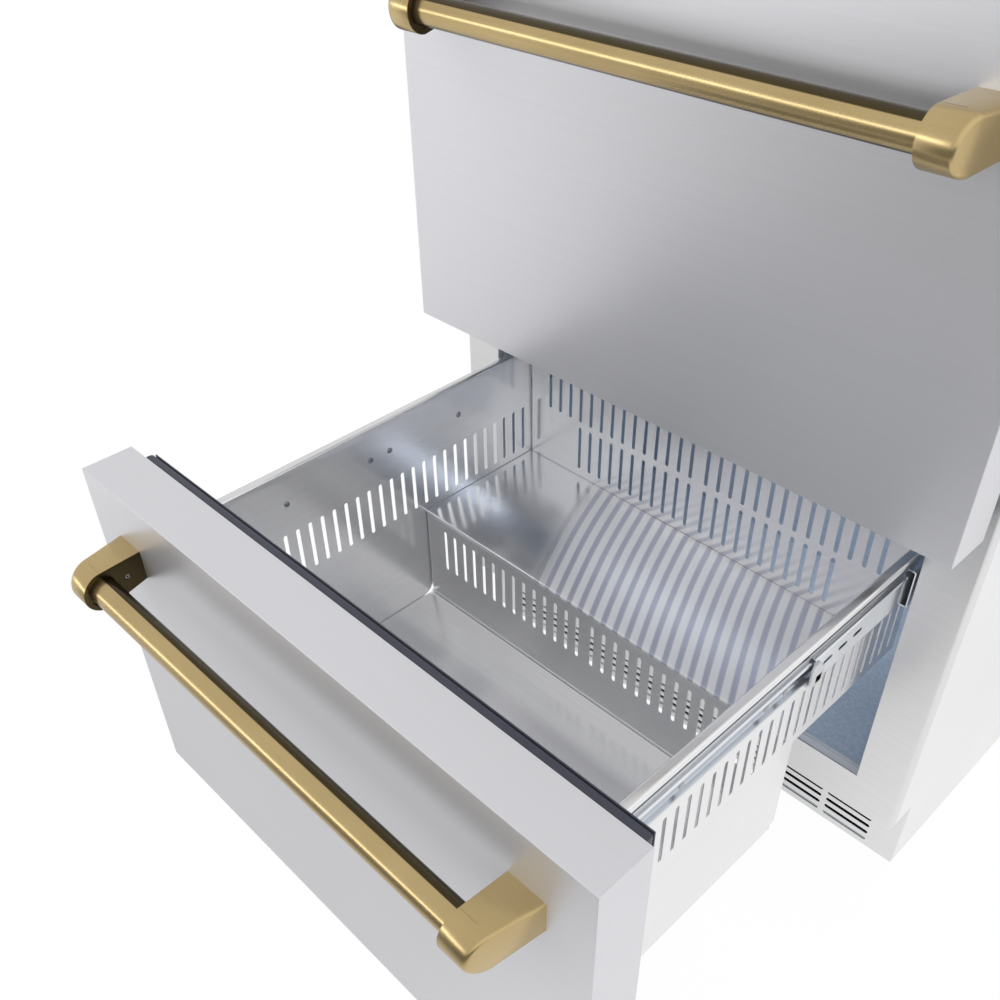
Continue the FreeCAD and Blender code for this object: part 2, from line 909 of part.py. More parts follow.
def front_panel(front_z):
    outer = box(
        -half_front, half_front, front_face_y, -seal_gap, front_z, front_z + front_height,
    )
    edges = [e for e in outer.Edges if abs(e.BoundBox.YMax - front_face_y) < 0.01]
    outer = outer.makeFillet(front_edge_radius, edges)
    s = front_skin
    hollow = box(
        -half_front + s, half_front - s, front_face_y + s, 0,
        front_z + s, front_z + front_height - s,
    )
    pan = outer.cut(hollow)
    for x, z in post_screw_places(front_z):
        hole = post_screw_radius + screw_fit
        pan = pan.cut(faceted_rod((x, front_face_y - s, z), (0, 1, 0), hole, 3 * s))
    return pan


def front_liner(front_z):
    s = front_skin
    return box(
        -half_front + s, half_front - s, -seal_gap - s, -seal_gap,
        front_z + s, front_z + front_height - s,
    )


def front_insulation(front_z):
    s = front_skin
    block = box(
        -half_front + s, half_front - s, front_face_y + s, -seal_gap - s,
        front_z + s, front_z + front_height - s,
    )
    for x, z in post_screw_places(front_z):
        pocket = faceted_rod(
            (x, front_face_y + s, z), (0, 1, 0),
            post_screw_head_radius + screw_fit, post_screw_head_height + screw_fit,
        )
        block = block.cut(pocket)
    return block


def ring(inset, width, y0, y1, front_z):
    outer_x = half_front - inset
    outer_low = front_z + inset
    outer_high = front_z + front_height - inset
    outer = box(-outer_x, outer_x, y0, y1, outer_low, outer_high)
    inner = box(
        -outer_x + width, outer_x - width, y0 - seal_gap, y1 + seal_gap,
        outer_low + width, outer_high - width,
    )
    return outer.cut(inner)


def gasket(front_z):
    body_back = -seal_gap + seal_body_depth - seal_groove_depth
    groove_back = -seal_gap + seal_body_depth
    body = ring(seal_inset, seal_width, -seal_gap, body_back, front_z)
    neck = ring(
        seal_inset + seal_groove_inset, seal_width - 2 * seal_groove_inset,
        body_back, groove_back, front_z,
    )
    lip = ring(
        seal_inset + seal_lip_inset, seal_width - 2 * seal_lip_inset,
        groove_back, -seal_clearance, front_z,
    )
    return body.fuse(neck).fuse(lip)


def bar_height(front_z):
    return front_z + front_height - bar_drop


def bar_line_y():
    return front_face_y - bar_offset


def inner_face_at(offset):
    reach = bar_offset + nose_radius
    return post_root_inner + (post_tip_inner - post_root_inner) * offset / reach


def post_screw_places(front_z):
    x = (post_root_inner + post_root_outer) / 2
    z = bar_height(front_z) + post_screw_rise
    return [(-x, z), (x, z)]


def handle_bar(front_z):
    half = inner_face_at(bar_offset) + bar_socket_depth
    return rod((-half, bar_line_y(), bar_height(front_z)), (1, 0, 0), bar_radius, 2 * half)


def handle_post(front_z):
    """Cast post: flat top, round nose about the bar, both sides leaning inward."""
    face = front_face_y
    line = bar_line_y()
    zc = bar_height(front_z)
    top = zc + nose_radius
    low_x = post_tip_inner - nose_radius
    span = post_root_outer - low_x + nose_radius
    low = zc - nose_radius
    outline = Part.Wire([
        Part.makeLine(vec(low_x, face, zc - post_root_below), vec(low_x, face, top)),
        Part.makeLine(vec(low_x, face, top), vec(low_x, line, top)),
        Part.Arc(
            vec(low_x, line, top), vec(low_x, line - nose_radius, zc), vec(low_x, line, low),
        ).toShape(),
        Part.makeLine(vec(low_x, line, low), vec(low_x, face, zc - post_root_below)),
    ])
    body = Part.Face(outline).extrude(vec(span, 0, 0))
    tip = line - nose_radius
    plan = [
        (post_root_inner, face, low), (post_root_outer, face, low),
        (post_tip_outer, tip, low), (post_tip_inner, tip, low),
    ]
    leaning = prism(plan, (0, 0, top - low))
    top_edges = [
        e for e in leaning.Edges
        if e.BoundBox.ZMin > top - 1 and e.BoundBox.XMin > post_tip_inner + 1
        and e.BoundBox.YLength > nose_radius
    ]
    outer_edge = max(top_edges, key=lambda e: e.BoundBox.XMax)
    body = body.common(leaning.makeFillet(post_edge_radius, [outer_edge]))
    inner = inner_face_at(bar_offset)
    socket = rod((low_x, line, zc), (1, 0, 0), bar_radius + bar_fit,
                 inner + bar_socket_depth + bar_fit - low_x)
    ring_cut = rod((low_x, line, zc), (1, 0, 0), bar_radius + socket_ring_width,
                   inner + socket_ring_depth - low_x)
    grub_x = inner_face_at(set_screw_offset)
    grub_z = zc + set_screw_rise
    grub = faceted_rod((low_x, face - set_screw_offset, grub_z), (1, 0, 0),
                       set_screw_radius + screw_fit / 2,
                       grub_x + set_screw_length + set_screw_recess - low_x)
    x, z = post_screw_places(front_z)[1]
    hole = faceted_rod((x, face, z), (0, -1, 0), post_screw_radius + screw_fit / 2,
                       post_screw_length + screw_fit)
    return body.cut(socket).cut(ring_cut).cut(grub).cut(hole)


def handle_posts(front_z):
    return both_sides(handle_post(front_z))


def rim_level(front_z):
    return front_z + front_height - basket_rim_drop


def side_slots(front_z, x):
    last = basket_back_y - side_slot_margin
    low = rim_level(front_z) - side_slot_drop - side_slot_length
    count = how_many(last - side_slot_front_margin + seal_gap, side_slot_pitch)
    return [
        slot_in_yz(x, last - i * side_slot_pitch, low, slot_width, side_slot_length)
        for i in range(count)
    ]


def basket_rim(x, front, rear, top):
    """Flange folded outward, with its outer edge rolled down."""
    edge = x + rim_width
    low = top - rim_lip_drop
    r = rim_roll_radius
    turns = [math.pi / 2 * i / rim_roll_steps for i in range(rim_roll_steps + 1)]
    outer = [
        (edge - r + r * math.sin(a), front, top - r + r * math.cos(a)) for a in turns
    ]
    thin = r - basket_sheet
    inner = [
        (edge - r + thin * math.sin(a), front, top - r + thin * math.cos(a)) for a in turns
    ]
    outline = [(x, front, top)] + outer + [(edge, front, low), (edge - basket_sheet, front, low)]
    outline += inner[::-1] + [(x, front, top - basket_sheet)]
    return prism(outline, (0, rear - front, 0))


def basket_side(front_z, stepped):
    """Slotted side sheet with its rim folded outward over the slide."""
    x = basket_half
    top = rim_level(front_z)
    floor = top - basket_depth_inside
    rear = basket_back_y + basket_sheet
    front = -seal_gap
    lines = []
    if stepped:
        heel = riser_y + side_tail
        step_low = floor + step_rise - basket_sheet
        r = side_corner_radius
        mid = r * math.sqrt(0.5)
        lines.append(Part.makeLine(vec(x, front, floor), vec(x, heel - r, floor)))
        lines.append(Part.Arc(
            vec(x, heel - r, floor), vec(x, heel - r + mid, floor + r - mid),
            vec(x, heel, floor + r),
        ).toShape())
        lines.append(Part.makeLine(vec(x, heel, floor + r), vec(x, heel, step_low)))
        lines.append(Part.makeLine(vec(x, heel, step_low), vec(x, rear, step_low)))
        lines.append(Part.makeLine(vec(x, rear, step_low), vec(x, rear, top)))
    else:
        lines.append(Part.makeLine(vec(x, front, floor), vec(x, rear, floor)))
        lines.append(Part.makeLine(vec(x, rear, floor), vec(x, rear, top)))
    lines.append(Part.makeLine(vec(x, rear, top), vec(x, front, top)))
    lines.append(Part.makeLine(vec(x, front, top), vec(x, front, floor)))
    wall = holed_plate(Part.Wire(lines), side_slots(front_z, x), (basket_sheet, 0, 0))
    side = wall.fuse(basket_rim(x, front, rear, top)).removeSplitter()
    z = slide_level(front_z)
    for y in rivet_places:
        start = (x - basket_sheet, y - seal_gap, z)
        hole = rivet_shank_radius + rivet_fit
        side = side.cut(faceted_rod(start, (1, 0, 0), hole, 3 * basket_sheet))
    return side


def basket_floor(front_z, stepped):
    floor = rim_level(front_z) - basket_depth_inside
    end = riser_y if stepped else basket_back_y
    return box(-basket_half, basket_half, -seal_gap, end, floor, floor + basket_sheet)


def basket_riser(front_z):
    low = rim_level(front_z) - basket_depth_inside
    high = low + step_rise - basket_sheet
    y = riser_y
    outline = rectangle_xz(y, -basket_half, basket_half, low, high)
    slot_low = high + basket_sheet - riser_slot_drop - riser_slot_length
    holes = []
    count = how_many(basket_half - back_upper_margin - back_slot_inner, back_slot_pitch)
    for k in range(count):
        x = back_slot_inner + k * back_slot_pitch
        holes.append(slot_in_xz(y, x, slot_low, slot_width, riser_slot_length))
        holes.append(slot_in_xz(y, -x, slot_low, slot_width, riser_slot_length))
    return holed_plate(outline, holes, (0, basket_sheet, 0))


def basket_step(front_z):
    high = rim_level(front_z) - basket_depth_inside + step_rise
    return box(-basket_half, basket_half, riser_y, basket_back_y, high - basket_sheet, high)


def basket_back(front_z, stepped):
    top = rim_level(front_z)
    low = top - basket_depth_inside
    if stepped:
        low += step_rise - basket_sheet
    y = basket_back_y
    outline = rectangle_xz(y, -basket_half, basket_half, low, top)
    rows = (
        (back_upper_margin, back_upper_drop, back_upper_length),
        (back_lower_margin, back_lower_drop, back_lower_length),
    )
    holes = []
    for margin, drop, length in rows:
        count = how_many(basket_half - margin - back_slot_inner, back_slot_pitch)
        for k in range(count):
            x = back_slot_inner + k * back_slot_pitch
            holes.append(slot_in_xz(y, x, top - drop - length, slot_width, length))
            holes.append(slot_in_xz(y, -x, top - drop - length, slot_width, length))
    return holed_plate(outline, holes, (0, basket_sheet, 0))


def drawer_fasteners(front_z):
    parts = []
    z = slide_level(front_z)
    for y in rivet_places:
        ends = (
            (basket_half - rivet_head, rivet_radius, rivet_head),
            (basket_half, rivet_shank_radius, basket_sheet + slide_sheet),
            (basket_outer_half + slide_sheet, rivet_radius, rivet_head),
        )
        rivet = [
            faceted_rod((x, y - seal_gap, z), (1, 0, 0), radius, length)
            for x, radius, length in ends
        ]
        parts += both_sides(rivet[0].multiFuse(rivet[1:]))
    grub = faceted_rod(
        (inner_face_at(set_screw_offset) + set_screw_recess, front_face_y - set_screw_offset,
         bar_height(front_z) + set_screw_rise),
        (1, 0, 0), set_screw_radius, set_screw_length,
    )
    parts += both_sides(grub)
    x, z = post_screw_places(front_z)[1]
    inside = front_face_y + front_skin
    head = faceted_rod((x, inside, z), (0, 1, 0), post_screw_head_radius, post_screw_head_height)
    length = front_skin + post_screw_length
    shank = faceted_rod((x, inside, z), (0, -1, 0), post_screw_radius, length)
    parts += both_sides(head.fuse(shank))
    return parts


def drawer(name, front_z, stepped):
    parts = {
        "front_panel": front_panel(front_z),
        "front_liner": front_liner(front_z),
        "front_insulation": front_insulation(front_z),
        "gasket": gasket(front_z),
        "handle_bar": handle_bar(front_z),
        "handle_posts": handle_posts(front_z),
        "slide_inner": slide_inner(front_z),
        "basket_side_right": basket_side(front_z, stepped),
        "basket_side_left": mirrored(basket_side(front_z, stepped)),
        "basket_floor": basket_floor(front_z, stepped),
        "basket_back": basket_back(front_z, stepped),
        "drawer_fasteners": drawer_fasteners(front_z),
    }
    if stepped:
        parts["basket_riser"] = basket_riser(front_z)
        parts["basket_step"] = basket_step(front_z)
    return {f"{key}_{name}": shape for key, shape in parts.items()}


def middle_members(name, front_z):
    parts = {
        "slide_middle": slide_middle(front_z),
        "ball_retainers": ball_retainers(front_z),
        "slide_catches": slide_catches(front_z),
    }
    return {f"{key}_{name}": shape for key, shape in parts.items()}


def cabinet():
    return {
        "face_frame": face_frame(),
        "side_panel_right": side_panel(),
        "side_panel_left": mirrored(side_panel()),
        "top_panel": top_panel(),
        "rear_panel": rear_panel(),
        "rear_grille": rear_grille(),
        "cabinet_bottom": cabinet_bottom(),
        "base_pan": base_pan(),
        "toe_kick_grille": toe_kick_grille(),
        "leveling_feet": leveling_feet(),
        "liner_upper": liner_upper(),
        "liner_lower": liner_lower(),
        "breaker_frames": breaker_frames(),
        "insulation_boards": insulation_boards(),
        "slide_outer": slide_outer(),
        "slide_brackets": slide_brackets(),
        "evaporator_cover": evaporator_cover(),
        "evaporator": evaporator(),
        "evaporator_fan": evaporator_fan(),
        "condenser_fan": condenser_fan(),
        "fan_motors": fan_motors(),
        "compressor": compressor(),
        "drain_pan": drain_pan(),
        "condenser": condenser(),
        "control_panel": control_panel(),
        "led_lights": led_lights(),
        "terminal_box": terminal_box(),
    }


def moved_out(parts, distance):
    moved = {}
    for node, shape in parts.items():
        solids = [s.copy() for s in (shape if isinstance(shape, list) else [shape])]
        for solid in solids:
            solid.translate(vec(0, -distance, 0))
        moved[node] = solids
    return moved


def write(parts):
    for node, solids in parts.items():
        shape = solids[0] if len(solids) == 1 else Part.makeCompound(solids)
        if not shape.isValid():
            print("not valid:", node)
        shape.exportStep(f"parts/{node}.step")


def main():
    os.makedirs("parts", exist_ok=True)
    everything = moved_out(cabinet(), 0)
    for name, front_z, opened, stepped in (
        ("lower", lower_front_z, lower_open, True),
        ("upper", upper_front_z, upper_open, False),
    ):
        everything.update(moved_out(drawer(name, front_z, stepped), opened))
        everything.update(moved_out(middle_members(name, front_z), opened / 2))
    write(everything)
    print(len(everything), "nodes")


main()
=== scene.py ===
import bmesh
import bpy
import json
import math
from collections import namedtuple
from mathutils import Matrix, Vector

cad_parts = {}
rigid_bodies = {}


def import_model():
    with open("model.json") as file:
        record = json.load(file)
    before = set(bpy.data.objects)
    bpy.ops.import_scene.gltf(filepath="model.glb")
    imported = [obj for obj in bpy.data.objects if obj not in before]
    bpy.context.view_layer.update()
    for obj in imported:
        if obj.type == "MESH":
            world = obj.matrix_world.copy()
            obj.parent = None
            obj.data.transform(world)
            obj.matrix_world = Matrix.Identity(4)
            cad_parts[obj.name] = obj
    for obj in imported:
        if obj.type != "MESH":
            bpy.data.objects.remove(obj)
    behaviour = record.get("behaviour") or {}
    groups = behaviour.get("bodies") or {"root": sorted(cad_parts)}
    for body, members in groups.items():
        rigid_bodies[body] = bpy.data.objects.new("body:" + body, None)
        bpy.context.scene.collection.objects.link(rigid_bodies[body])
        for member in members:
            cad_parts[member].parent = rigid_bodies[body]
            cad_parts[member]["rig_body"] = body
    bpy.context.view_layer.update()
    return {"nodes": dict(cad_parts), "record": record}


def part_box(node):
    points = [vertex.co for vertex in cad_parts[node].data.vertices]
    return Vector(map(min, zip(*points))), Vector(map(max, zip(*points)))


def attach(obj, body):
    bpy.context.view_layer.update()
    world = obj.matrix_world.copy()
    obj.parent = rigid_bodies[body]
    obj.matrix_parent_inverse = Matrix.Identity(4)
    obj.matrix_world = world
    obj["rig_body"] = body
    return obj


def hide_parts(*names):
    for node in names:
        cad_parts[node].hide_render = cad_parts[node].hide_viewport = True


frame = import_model()
print("frame loaded:", len(frame["nodes"]), "nodes")

scene = bpy.context.scene
scene.view_settings.view_transform = "Standard"
slotOf = {row["node"]: row["material_slot"] for row in frame["record"]["subparts"]}
mm = 0.001


# Shader sums: a socket that can be added, scaled and compared as a number
class Signal:
    def __init__(self, sheet, out):
        self.sheet = sheet
        self.out = out

    def sum(self, operation, other, flipped=False):
        first, second = (other, self) if flipped else (self, other)
        return self.sheet.add("Math", {"operation": operation}, {0: first, 1: second})

    def __add__(self, other):
        return self.sum("ADD", other)

    def __radd__(self, other):
        return self.sum("ADD", other, True)

    def __sub__(self, other):
        return self.sum("SUBTRACT", other)

    def __rsub__(self, other):
        return self.sum("SUBTRACT", other, True)

    def __mul__(self, other):
        return self.sum("MULTIPLY", other)

    def __rmul__(self, other):
        return self.sum("MULTIPLY", other, True)

    def __truediv__(self, other):
        return self.sum("DIVIDE", other)

    def __gt__(self, other):
        return self.sum("GREATER_THAN", other)

    def __lt__(self, other):
        return self.sum("LESS_THAN", other)


class Sheet:
    def __init__(self, tree):
        self.tree = tree
        tree.nodes.clear()

    def add(self, kind, settings=None, inputs=None, out=0):
        node = self.tree.nodes.new("ShaderNode" + kind)
        for key, value in (settings or {}).items():
            setattr(node, key, value)
        for key, value in (inputs or {}).items():
            if isinstance(value, Signal):
                self.tree.links.new(value.out, node.inputs[key])
            else:
                node.inputs[key].default_value = value
        return Signal(self, node.outputs[out]) if len(node.outputs) else node

    def place(self, stretch=(1, 1, 1)):
        here = self.add("TexCoord", out="Object")
        return self.add("Mapping", None, {"Vector": here, "Scale": stretch})

    def parts(self, vector):
        return [self.add("SeparateXYZ", None, {"Vector": vector}, out=i) for i in range(3)]

    def axes(self, kind="Object"):
        return self.parts(self.add("TexCoord", out=kind))

    def noise(self, where, scale, detail=2.0, roughness=0.5):
        return self.add("TexNoise", None, {
            "Vector": where, "Scale": scale, "Detail": detail, "Roughness": roughness,
        })

    def blend(self, mask, first, second):
        return self.add("Mix", {"data_type": "RGBA"}, {0: mask, 6: first, 7: second}, 2)

    def range(self, signal, low, high, newLow, newHigh, smooth=False):
        kind = "SMOOTHSTEP" if smooth else "LINEAR"
        return self.add("MapRange", {"interpolation_type": kind}, {
            "Value": signal, "From Min": low, "From Max": high,
            "To Min": newLow, "To Max": newHigh,
        })

    # 1 between two edges and 0 beyond them, with a soft step at each
    def window(self, signal, low, lowEnd, high, highEnd):
        rise = self.range(signal, low, lowEnd, 0, 1, True)
        return rise * self.range(signal, high, highEnd, 1, 0, True)

    def bump(self, height, distance, strength=0.3):
        return self.add("Bump", None, {
            "Height": height, "Distance": distance, "Strength": strength,
        })

    # Camera, glossy and transmission rays, each 0 or 1
    def rays(self):
        names = ("Is Camera Ray", "Is Glossy Ray", "Is Transmission Ray")
        return [self.add("LightPath", out=name) for name in names]


def srgb(r, g, b):
    return tuple(c / 12.92 if c <= 0.04045 else ((c + 0.055) / 1.055) ** 2.4
                 for c in (r / 255, g / 255, b / 255)) + (1,)


def newMaterial(name):
    material = bpy.data.materials.new(name)
    material.use_nodes = True
    return material, Sheet(material.node_tree)


def closeMaterial(sheet, inputs, bump):
    shader = sheet.add("BsdfPrincipled", None, dict(inputs, Normal=bump))
    sheet.add("OutputMaterial", None, {"Surface": shader})


# Metals: a stretched noise gives the brush lines, a wide one the slow changes of a rolled sheet
def brushedMetal(name, look):
    material, sheet = newMaterial(name)
    fine, coarse = look["grain"]
    stretch = tuple(coarse if axis == look["along"] else fine for axis in "XYZ")
    lines = sheet.noise(sheet.place(stretch), 1.0, 3.0, 0.6)
    broad = sheet.noise(sheet.place(), 3.0)
    tone = sheet.range(lines + broad * 0.8, 0.6, 1.2, 0, 1)
    closeMaterial(sheet, {
        "Base Color": sheet.blend(tone, look["dark"], look["light"]),
        "Roughness": look["rough"] + (lines - 0.5) * 0.1,
        "Metallic": look.get("metal", 1.0),
    }, sheet.bump(lines, look["bump"]))
    return material


def plastic(name, look):
    material, sheet = newMaterial(name)
    grain = sheet.noise(sheet.place(), look["scale"], 3.0)
    broad = sheet.noise(sheet.place(), 9.0)
    closeMaterial(sheet, {
        "Base Color": sheet.blend(broad, look["dark"], look["light"]),
        "Roughness": look["rough"] + (grain - 0.5) * 0.15,
        "Specular IOR Level": look.get("gloss", 0.5),
        "Emission Color": look.get("glow", (0, 0, 0, 1)),
        "Emission Strength": 1.0 if "glow" in look else 0.0,
    }, sheet.bump(grain, look["bump"]))
    return material


# Handle metal: satin champagne, with painted shade in its colour, standing for dark reflections,
# on the side that faces the drawer and inside the posts, and a painted dark reflection band along
# the top of the upper bar
satin = {
    "dark": srgb(190, 167, 119), "light": srgb(203, 180, 131), "paintedShade": srgb(66, 56, 34),
    "paintedShadeShare": 0.96, "upperBar": 0.6, "barHalfSquared": 0.0488, "paintedTopShadeShare": 0.76,
    "drawerSideShadeRange": (0.05, 0.11), "insidePostShadeRange": (-0.16, -0.2),
}


def satinHandle():
    material, sheet = newMaterial("champagneMetal")
    lines = sheet.noise(sheet.place((18.0, 1500.0, 1500.0)), 1.0)
    broad = sheet.noise(sheet.place(), 14.0)
    tone = sheet.range(lines * 0.5 + broad, 0.5, 1.0, 0, 1)
    colour = sheet.blend(tone, satin["dark"], satin["light"])
    side, back = sheet.parts(sheet.add("NewGeometry", out="Normal"))[:2]
    east, rise = sheet.axes()[::2]
    # Masks for the painted shade: the top of the upper bar, the side turned to the drawer, the
    # posts' inner faces
    upperBarTopShadeMask = (rise > satin["upperBar"]) * (east * east < satin["barHalfSquared"])
    rear = sheet.range(back + upperBarTopShadeMask * satin["paintedTopShadeShare"], *satin["drawerSideShadeRange"], 0, 1, True)
    inner = sheet.range(side * east, *satin["insidePostShadeRange"], 0, 1, True)
    # Painted shade: the base colour is darkened towards the painted shade colour where these
    # masks are set
    paintedShade = sheet.range(rear + inner, 0, 1, 0, satin["paintedShadeShare"])
    closeMaterial(sheet, {
        "Base Color": sheet.blend(paintedShade, colour, satin["paintedShade"]),
        "Roughness": 0.2 + lines * 0.08, "Metallic": 0.88,
    }, sheet.bump(lines, 0.000004, 0.2))
    return material


looks = {
    "cabinet_steel": brushedMetal("cabinetSteel", {
        "dark": srgb(240, 240, 241), "light": srgb(248, 248, 248), "rough": 0.38,
        "along": "Y", "grain": (900.0, 6.0), "bump": 0.00001,
    }),
    "front_steel": brushedMetal("frontSteel", {
        "dark": srgb(226, 226, 230), "light": srgb(231, 231, 235), "rough": 0.36,
        "along": "X", "grain": (900.0, 5.0), "bump": 0.000005, "metal": 0.65,
    }),
    "basket_steel": brushedMetal("basketSteel", {
        "dark": srgb(230, 230, 231), "light": srgb(242, 242, 243), "rough": 0.2,
        "along": "X", "grain": (1500.0, 8.0), "bump": 0.00001, "metal": 0.84,
    }),
    "galvanized_steel": brushedMetal("galvanizedSteel", {
        "dark": srgb(176, 180, 184), "light": srgb(210, 213, 216), "rough": 0.4,
        "along": "X", "grain": (90.0, 60.0), "bump": 0.00003,
    }),
    "liner_metal": brushedMetal("linerMetal", {
        "dark": srgb(152, 165, 182), "light": srgb(192, 202, 214), "rough": 0.36,
        "along": "X", "grain": (420.0, 260.0), "bump": 0.00003, "metal": 0.3,
    }),
    "slide_zinc": brushedMetal("slideZinc", {
        "dark": srgb(216, 220, 226), "light": srgb(238, 241, 245), "rough": 0.2,
        "along": "Y", "grain": (900.0, 12.0), "bump": 0.00002, "metal": 0.88,
    }),
    "aluminium_fins": brushedMetal("aluminiumFins", {
        "dark": srgb(186, 188, 190), "light": srgb(216, 218, 220), "rough": 0.35,
        "along": "X", "grain": (600.0, 20.0), "bump": 0.00002,
    }),
    "champagne_metal": satinHandle(),
    "fastener_steel": brushedMetal("fastenerSteel", {
        "dark": srgb(134, 136, 142), "light": srgb(172, 174, 180), "rough": 0.14,
        "along": "Z", "grain": (900.0, 300.0), "bump": 0.00001,
    }),
    "breaker_plastic": plastic("breakerPlastic", {
        "dark": srgb(184, 187, 192), "light": srgb(198, 200, 204), "rough": 0.35,
        "scale": 900.0, "bump": 0.00003,
    }),
    "foam": plastic("foam", {
        "dark": srgb(222, 200, 150), "light": srgb(238, 222, 180), "rough": 0.9,
        "scale": 400.0, "bump": 0.0004,
    }),
    "white_plastic": plastic("whitePlastic", {
        "dark": srgb(232, 232, 234), "light": srgb(244, 244, 245), "rough": 0.35,
        "scale": 900.0, "bump": 0.00002,
    }),
    "black_plastic": plastic("blackPlastic", {
        "dark": srgb(22, 22, 24), "light": srgb(34, 34, 36), "rough": 0.45,
        "scale": 1200.0, "bump": 0.00004,
    }),
    "light_lens": plastic("lightLens", {
        "dark": srgb(236, 238, 240), "light": srgb(246, 247, 248), "rough": 0.25,
        "scale": 600.0, "bump": 0.00001, "glow": (2.4, 2.6, 2.9, 1),
    }),
    "black_paint": plastic("blackPaint", {
        "dark": srgb(20, 20, 21), "light": srgb(32, 32, 33), "rough": 0.3,
        "scale": 700.0, "bump": 0.00005,
    }),
    "liner_white": plastic("linerWhite", {
        "dark": srgb(224, 226, 228), "light": srgb(236, 237, 238), "rough": 0.4,
        "scale": 900.0, "bump": 0.00002,
    }),
    "felt": plastic("darkFelt", {
        "dark": srgb(6, 6, 7), "light": srgb(12, 12, 13), "rough": 0.95,
        "scale": 500.0, "bump": 0.0003, "gloss": 0.05,
    }),
    "seal_rubber": plastic("sealRubber", {
        "dark": srgb(60, 62, 76), "light": srgb(76, 78, 92), "rough": 0.5,
        "scale": 1100.0, "bump": 0.00004,
    }),
}

for nodeName, thing in frame["nodes"].items():
    thing.data.materials.clear()
    thing.data.materials.append(looks[slotOf[nodeName]])
print("materials:", len(looks))


# Shapes are drawn in millimetres in the rest position
Span = namedtuple("Span", "x0 y0 z0 x1 y1 z1")


def span(node):
    low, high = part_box(node)
    return Span(*[v / mm for v in (*low, *high)])


def arc(centre, radius, start, end, steps):
    turns = [math.radians(start + (end - start) * i / steps) for i in range(steps + 1)]
    return [(centre[0] + radius * math.cos(a), centre[1] + radius * math.sin(a)) for a in turns]


# Outline of a folded sheet from its middle line: rounded bends, given thickness
def folded(points, thick, radius, steps=5):
    points = [Vector(p) for p in points]
    path = [points[0]]
    for a, b, c in zip(points, points[1:], points[2:]):
        back, on = (a - b).normalized(), (c - b).normalized()
        turn = math.pi - back.angle(on)
        reach = radius * math.tan(turn / 2)
        middle = b + (back + on).normalized() * (radius / math.cos(turn / 2))
        arm = b + back * reach - middle
        side = 1 if (b - a).x * (c - b).y - (b - a).y * (c - b).x > 0 else -1
        for i in range(steps + 1):
            path.append(middle + Matrix.Rotation(side * turn * i / steps, 2) @ arm)
    path.append(points[-1])
    left, right = [], []
    for i, p in enumerate(path):
        along = (path[min(i + 1, len(path) - 1)] - path[max(i - 1, 0)]).normalized()
        across = Vector((-along.y, along.x)) * thick / 2
        left.append(tuple(p + across))
        right.append(tuple(p - across))
    return left + right[::-1]


def slotRing(u, low, length, width, upright=True):
    r = width / 2
    ring = arc((u, low + length - r), r, 0, 180, 8) + arc((u, low + r), r, 180, 360, 8)
    return ring if upright else [(v, w) for w, v in ring[::-1]]


def rectangle(u0, u1, v0, v1):
    return [(u0, v0), (u1, v0), (u1, v1), (u0, v1)]


# Edges sharper than this many radians are broken where a shape asks for soft edges
creaseAngle = 0.6


